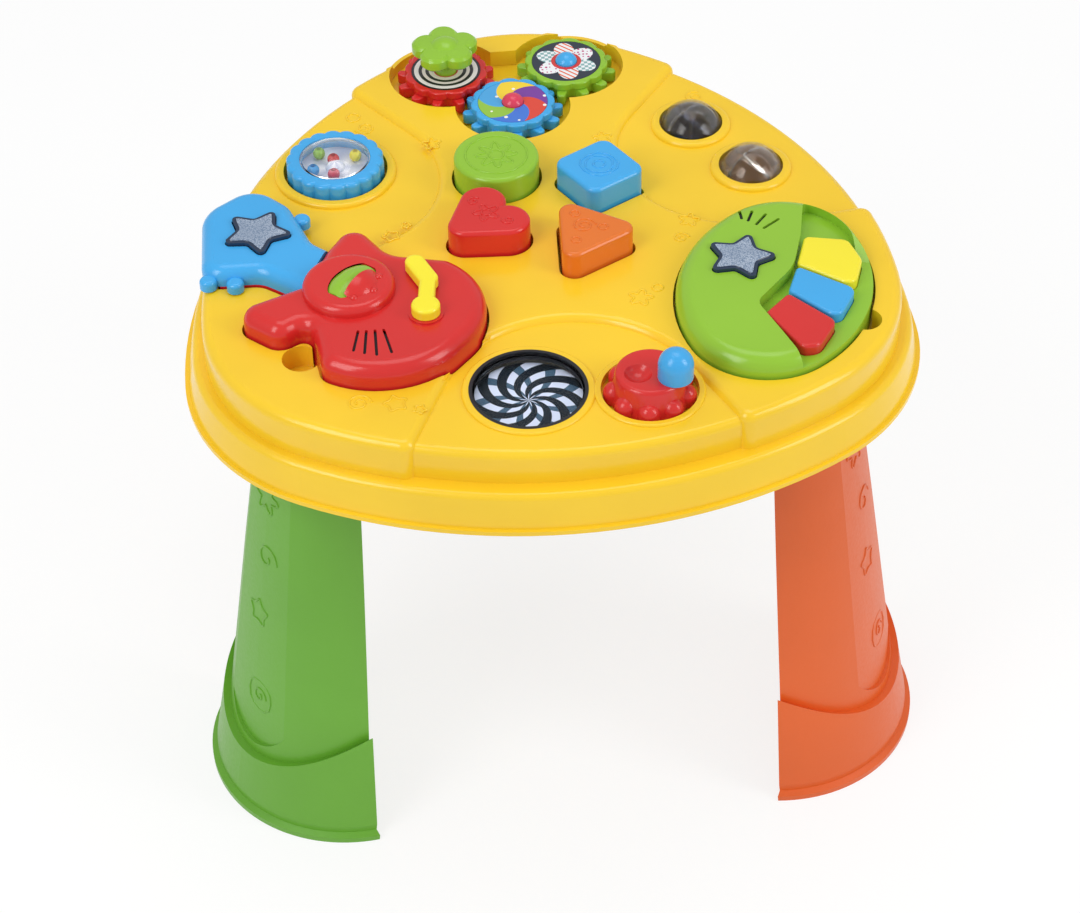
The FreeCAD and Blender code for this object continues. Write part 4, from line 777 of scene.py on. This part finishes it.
def flowerLine(size, petals=5, steps=40, middle=0.76, wave=0.24):
    line = []
    for k in range(steps):
        a = 2 * math.pi * k / steps
        line.append(around(size * (middle + wave * math.cos(petals * a)), a))
    return line


def squareLine(size):
    return [(size, size), (-size, size), (-size, -size), (size, -size)]


def placed(line, x, y, turn, z):
    a = math.radians(turn)
    return [onTop(x + px * math.cos(a) - py * math.sin(a),
                  y + px * math.sin(a) + py * math.cos(a), z)
            for px, py in line]


def finishRelief(lines, name, body, materialName):
    finishPiece(joinPieces(lines), name, body, [mats[materialName]], wire["smoothTo"])


topReliefs = (
    # line, x, y, turn, height, closed
    (starLine(9.0), -106, -149, 10, 360.0, True),
    (starLine(5.0), -92, -156, 40, 360.0, True),
    (spiralLine(8.0), -128, -146, 0, 360.0, False),
    (starLine(7.0), -96.5, 14, 20, 360.0, True),
    (starLine(4.0), -86, 24, 50, 360.0, True),
    (spiralLine(7.0), 121, 145, 60, 356.0, False),
    (spiralLine(7.0), -105, 139, 200, 356.0, False),
    (roundLine(4.5), -112, 152, 0, 356.0, True),
    (flowerLine(8.0), 54, -68.5, 0, 360.0, True),
    (roundLine(3.4), 66, -60, 0, 360.0, True),
    (flowerLine(6.5), -62, 110, 20, 360.0, True),
    (flowerLine(6.5), 52, 102, 20, 360.0, True),
    (flowerLine(7.0), 96, 6, 0, 360.0, True),
    (spiralLine(5.5), 88, -12, 0, 360.0, False),
)
topThick = 0.0007
lines = [wireLine(placed(line, x, y, turn, z), topThick, closed)
         for line, x, y, turn, z, closed in topReliefs]
finishRelief(lines, "tableReliefs", "table", "tableYellow")

blockTop = 378.0
blockThick = 0.0006
blockReliefs = (
    # body, material, slot, and its lines with x, y, turn, closed
    ("block_round", "toyGreen", "toy_green", ((flowerLine(14.0, 8, 64), -22.5, 68, 0, True),
                                              (roundLine(5.0), -22.5, 68, 0, True),
                                              (roundLine(20.5, 24), -22.5, 68, 0, True))),
    ("block_square", "toyBlue", "toy_blue", ((squareLine(12.0), 43, 49, 30, True),
                                             (squareLine(9.0), 43, 49, 75, True),
                                             (roundLine(4.0), 43, 49, 0, True))),
    ("block_heart", "toyRed", "toy_red", ((flowerLine(9.0, 5), -35, 7.5, 32, True),
                                          (roundLine(3.2), -35, 7.5, 0, True),
                                          (spiralLine(4.5, 1.2), -42, 20, 40, False),
                                          (spiralLine(4.5, 1.2), -22, -2, 160, False))),
    ("block_triangle", "toyOrange", "toy_orange", ((spiralLine(8.0, 1.8), 25, -14, 0, False),
                                                   (roundLine(3.0), 37, -17, 0, True),
                                                   (roundLine(3.0), 21, -1, 0, True),
                                                   (roundLine(3.0), 18.5, -28, 0, True))),
)
for body, materialName, slotName, shapes in blockReliefs:
    lines = [wireLine(placed(line, x, y, turn, blockTop), blockThick, closed)
             for line, x, y, turn, closed in shapes]
    finishRelief(lines, body + "Relief", body, materialName)
print("reliefs placed")

# reliefs on the legs

legReliefs = {
    # height above the floor, line, sideways shift in millimetres, closed
    "lines": ((255, flowerLine(13.0, 6, 48), -2, True), (208, spiralLine(11.0, 1.1), 3, False),
              (160, starLine(12.0, 0.5), -2, True), (92, squareLine(12.0), 5, True),
              (92, spiralLine(7.0, 1.2), 5, False)),
    # millimetres from the table's axis to the leg's, and metres outwards where the rays start
    "distance": 171.5, "castFrom": 0.3,
    # node, direction from the axis, material, slot
    "legs": (("leg_back", 90, "legBlue", "leg_blue"),
             ("leg_front_left", 210, "legGreen", "leg_green"),
             ("leg_front_right", 330, "legOrange", "leg_orange")),
    "thick": 0.0008,
}


def makeLegReliefs(values):
    for nodeName, direction, materialName, slotName in values["legs"]:
        a = math.radians(direction)
        out = Vector((math.cos(a), math.sin(a), 0))
        side = Vector((-math.sin(a), math.cos(a), 0))
        axis = onTop(values["distance"] * math.cos(a), values["distance"] * math.sin(a))
        lines = []
        for height, line, shift, closed in values["lines"]:
            points = []
            for x, y in line:
                start = axis + out * values["castFrom"] + side * ((shift + x) / 1000)
                start += Vector((0, 0, (height + y) / 1000))
                hit, place = nodes[nodeName].ray_cast(start, -out)[:2]
                if hit:
                    points.append(place)
            if len(points) > 3:
                lines.append(wireLine(points, values["thick"], closed))
        finishRelief(lines, nodeName + "Relief", "table", materialName)


makeLegReliefs(legReliefs)
print("leg reliefs placed")

# floor, light and camera

studio = {
    # each lamp's place, size and power
    "lamps": {
        "keyLight": ((-1.3, -1.0, 1.7), (0.9, 1.3), 15.0),
        "fillLight": ((1.6, -0.9, 1.3), (0.7, 1.3), 12.0),
        "topLight": ((0.1, 0.35, 2.3), (1.3, 1.0), 7.0),
    },
    "lampAim": (0, 0, 0.3), "sky": 0.55,
    "floorSize": 14, "floorColour": (0.9, 0.9, 0.9, 1), "floorRough": 0.9,
    # how white the floor looks to the eye, and the strength of that white
    "whiteShare": 0.74, "whiteGlow": 1.06,
    "camera": (-0.1515, -1.472776, 1.5022), "aim": (47.5282, 0.7753, -6.5146), "lens": 95.81,
    "sensor": 36.0, "seesTo": 30,
}


def whiteForEye(tree, shaderOutput, target, values):
    # seen directly, or in a mirror or through glass, the surface is nearly white
    path = addNode(tree, "ShaderNodeLightPath")
    throughIt = reckon(tree, "MAXIMUM", path.outputs["Is Glossy Ray"],
                       path.outputs["Is Transmission Ray"])
    seen = reckon(tree, "MAXIMUM", path.outputs["Is Camera Ray"], throughIt)
    glow = addNode(tree, "ShaderNodeEmission")
    glow.inputs["Strength"].default_value = values["whiteGlow"]
    mix = addNode(tree, "ShaderNodeMixShader")
    tree.links.new(reckon(tree, "MULTIPLY", seen, values["whiteShare"]), mix.inputs[0])
    tree.links.new(shaderOutput, mix.inputs[1])
    tree.links.new(glow.outputs[0], mix.inputs[2])
    tree.links.new(mix.outputs[0], target)


bpy.ops.mesh.primitive_plane_add(size=studio["floorSize"], location=(0, 0, 0))
floor = bpy.context.object
floor.name = "studioFloor"
material, tree, shader = newMaterial("studioFloor")
shader.inputs["Base Color"].default_value = studio["floorColour"]
shader.inputs["Roughness"].default_value = studio["floorRough"]
shader.inputs["Specular IOR Level"].default_value = 0.0
whiteForEye(tree, shader.outputs[0], tree.nodes["Material Output"].inputs["Surface"], studio)
floor.data.materials.append(material)

world = bpy.data.worlds.new("studioWorld")
bpy.context.scene.world = world
world.use_nodes = True
tree = world.node_tree
sky = tree.nodes["Background"]
sky.inputs["Color"].default_value = (1, 1, 1, 1)
path = addNode(tree, "ShaderNodeLightPath")
seen = reckon(tree, "MAXIMUM", path.outputs["Is Camera Ray"], path.outputs["Is Transmission Ray"])
skyStrength = reckon(tree, "MULTIPLY_ADD", seen, 1.0 - studio["sky"], studio["sky"])
tree.links.new(skyStrength, sky.inputs["Strength"])


def softbox(name, place, aim, size, power):
    bpy.ops.object.light_add(type="AREA", location=place)
    lamp = bpy.context.object
    lamp.name = name
    lamp.data.shape = "RECTANGLE"
    lamp.data.size, lamp.data.size_y = size
    lamp.data.energy = power
    lamp.rotation_euler = (Vector(aim) - Vector(place)).to_track_quat("-Z", "Y").to_euler()


for name, (place, size, power) in studio["lamps"].items():
    softbox(name, place, studio["lampAim"], size, power)

cameraData = bpy.data.cameras.new("photoCamera")
camera = bpy.data.objects.new("photoCamera", cameraData)
bpy.context.scene.collection.objects.link(camera)
camera.location = studio["camera"]
camera.rotation_euler = [math.radians(a) for a in studio["aim"]]
cameraData.sensor_width = studio["sensor"]
cameraData.lens = studio["lens"]
cameraData.clip_end = studio["seesTo"]
bpy.context.scene.camera = camera
bpy.context.scene.view_settings.view_transform = "Standard"
print("studio ready")
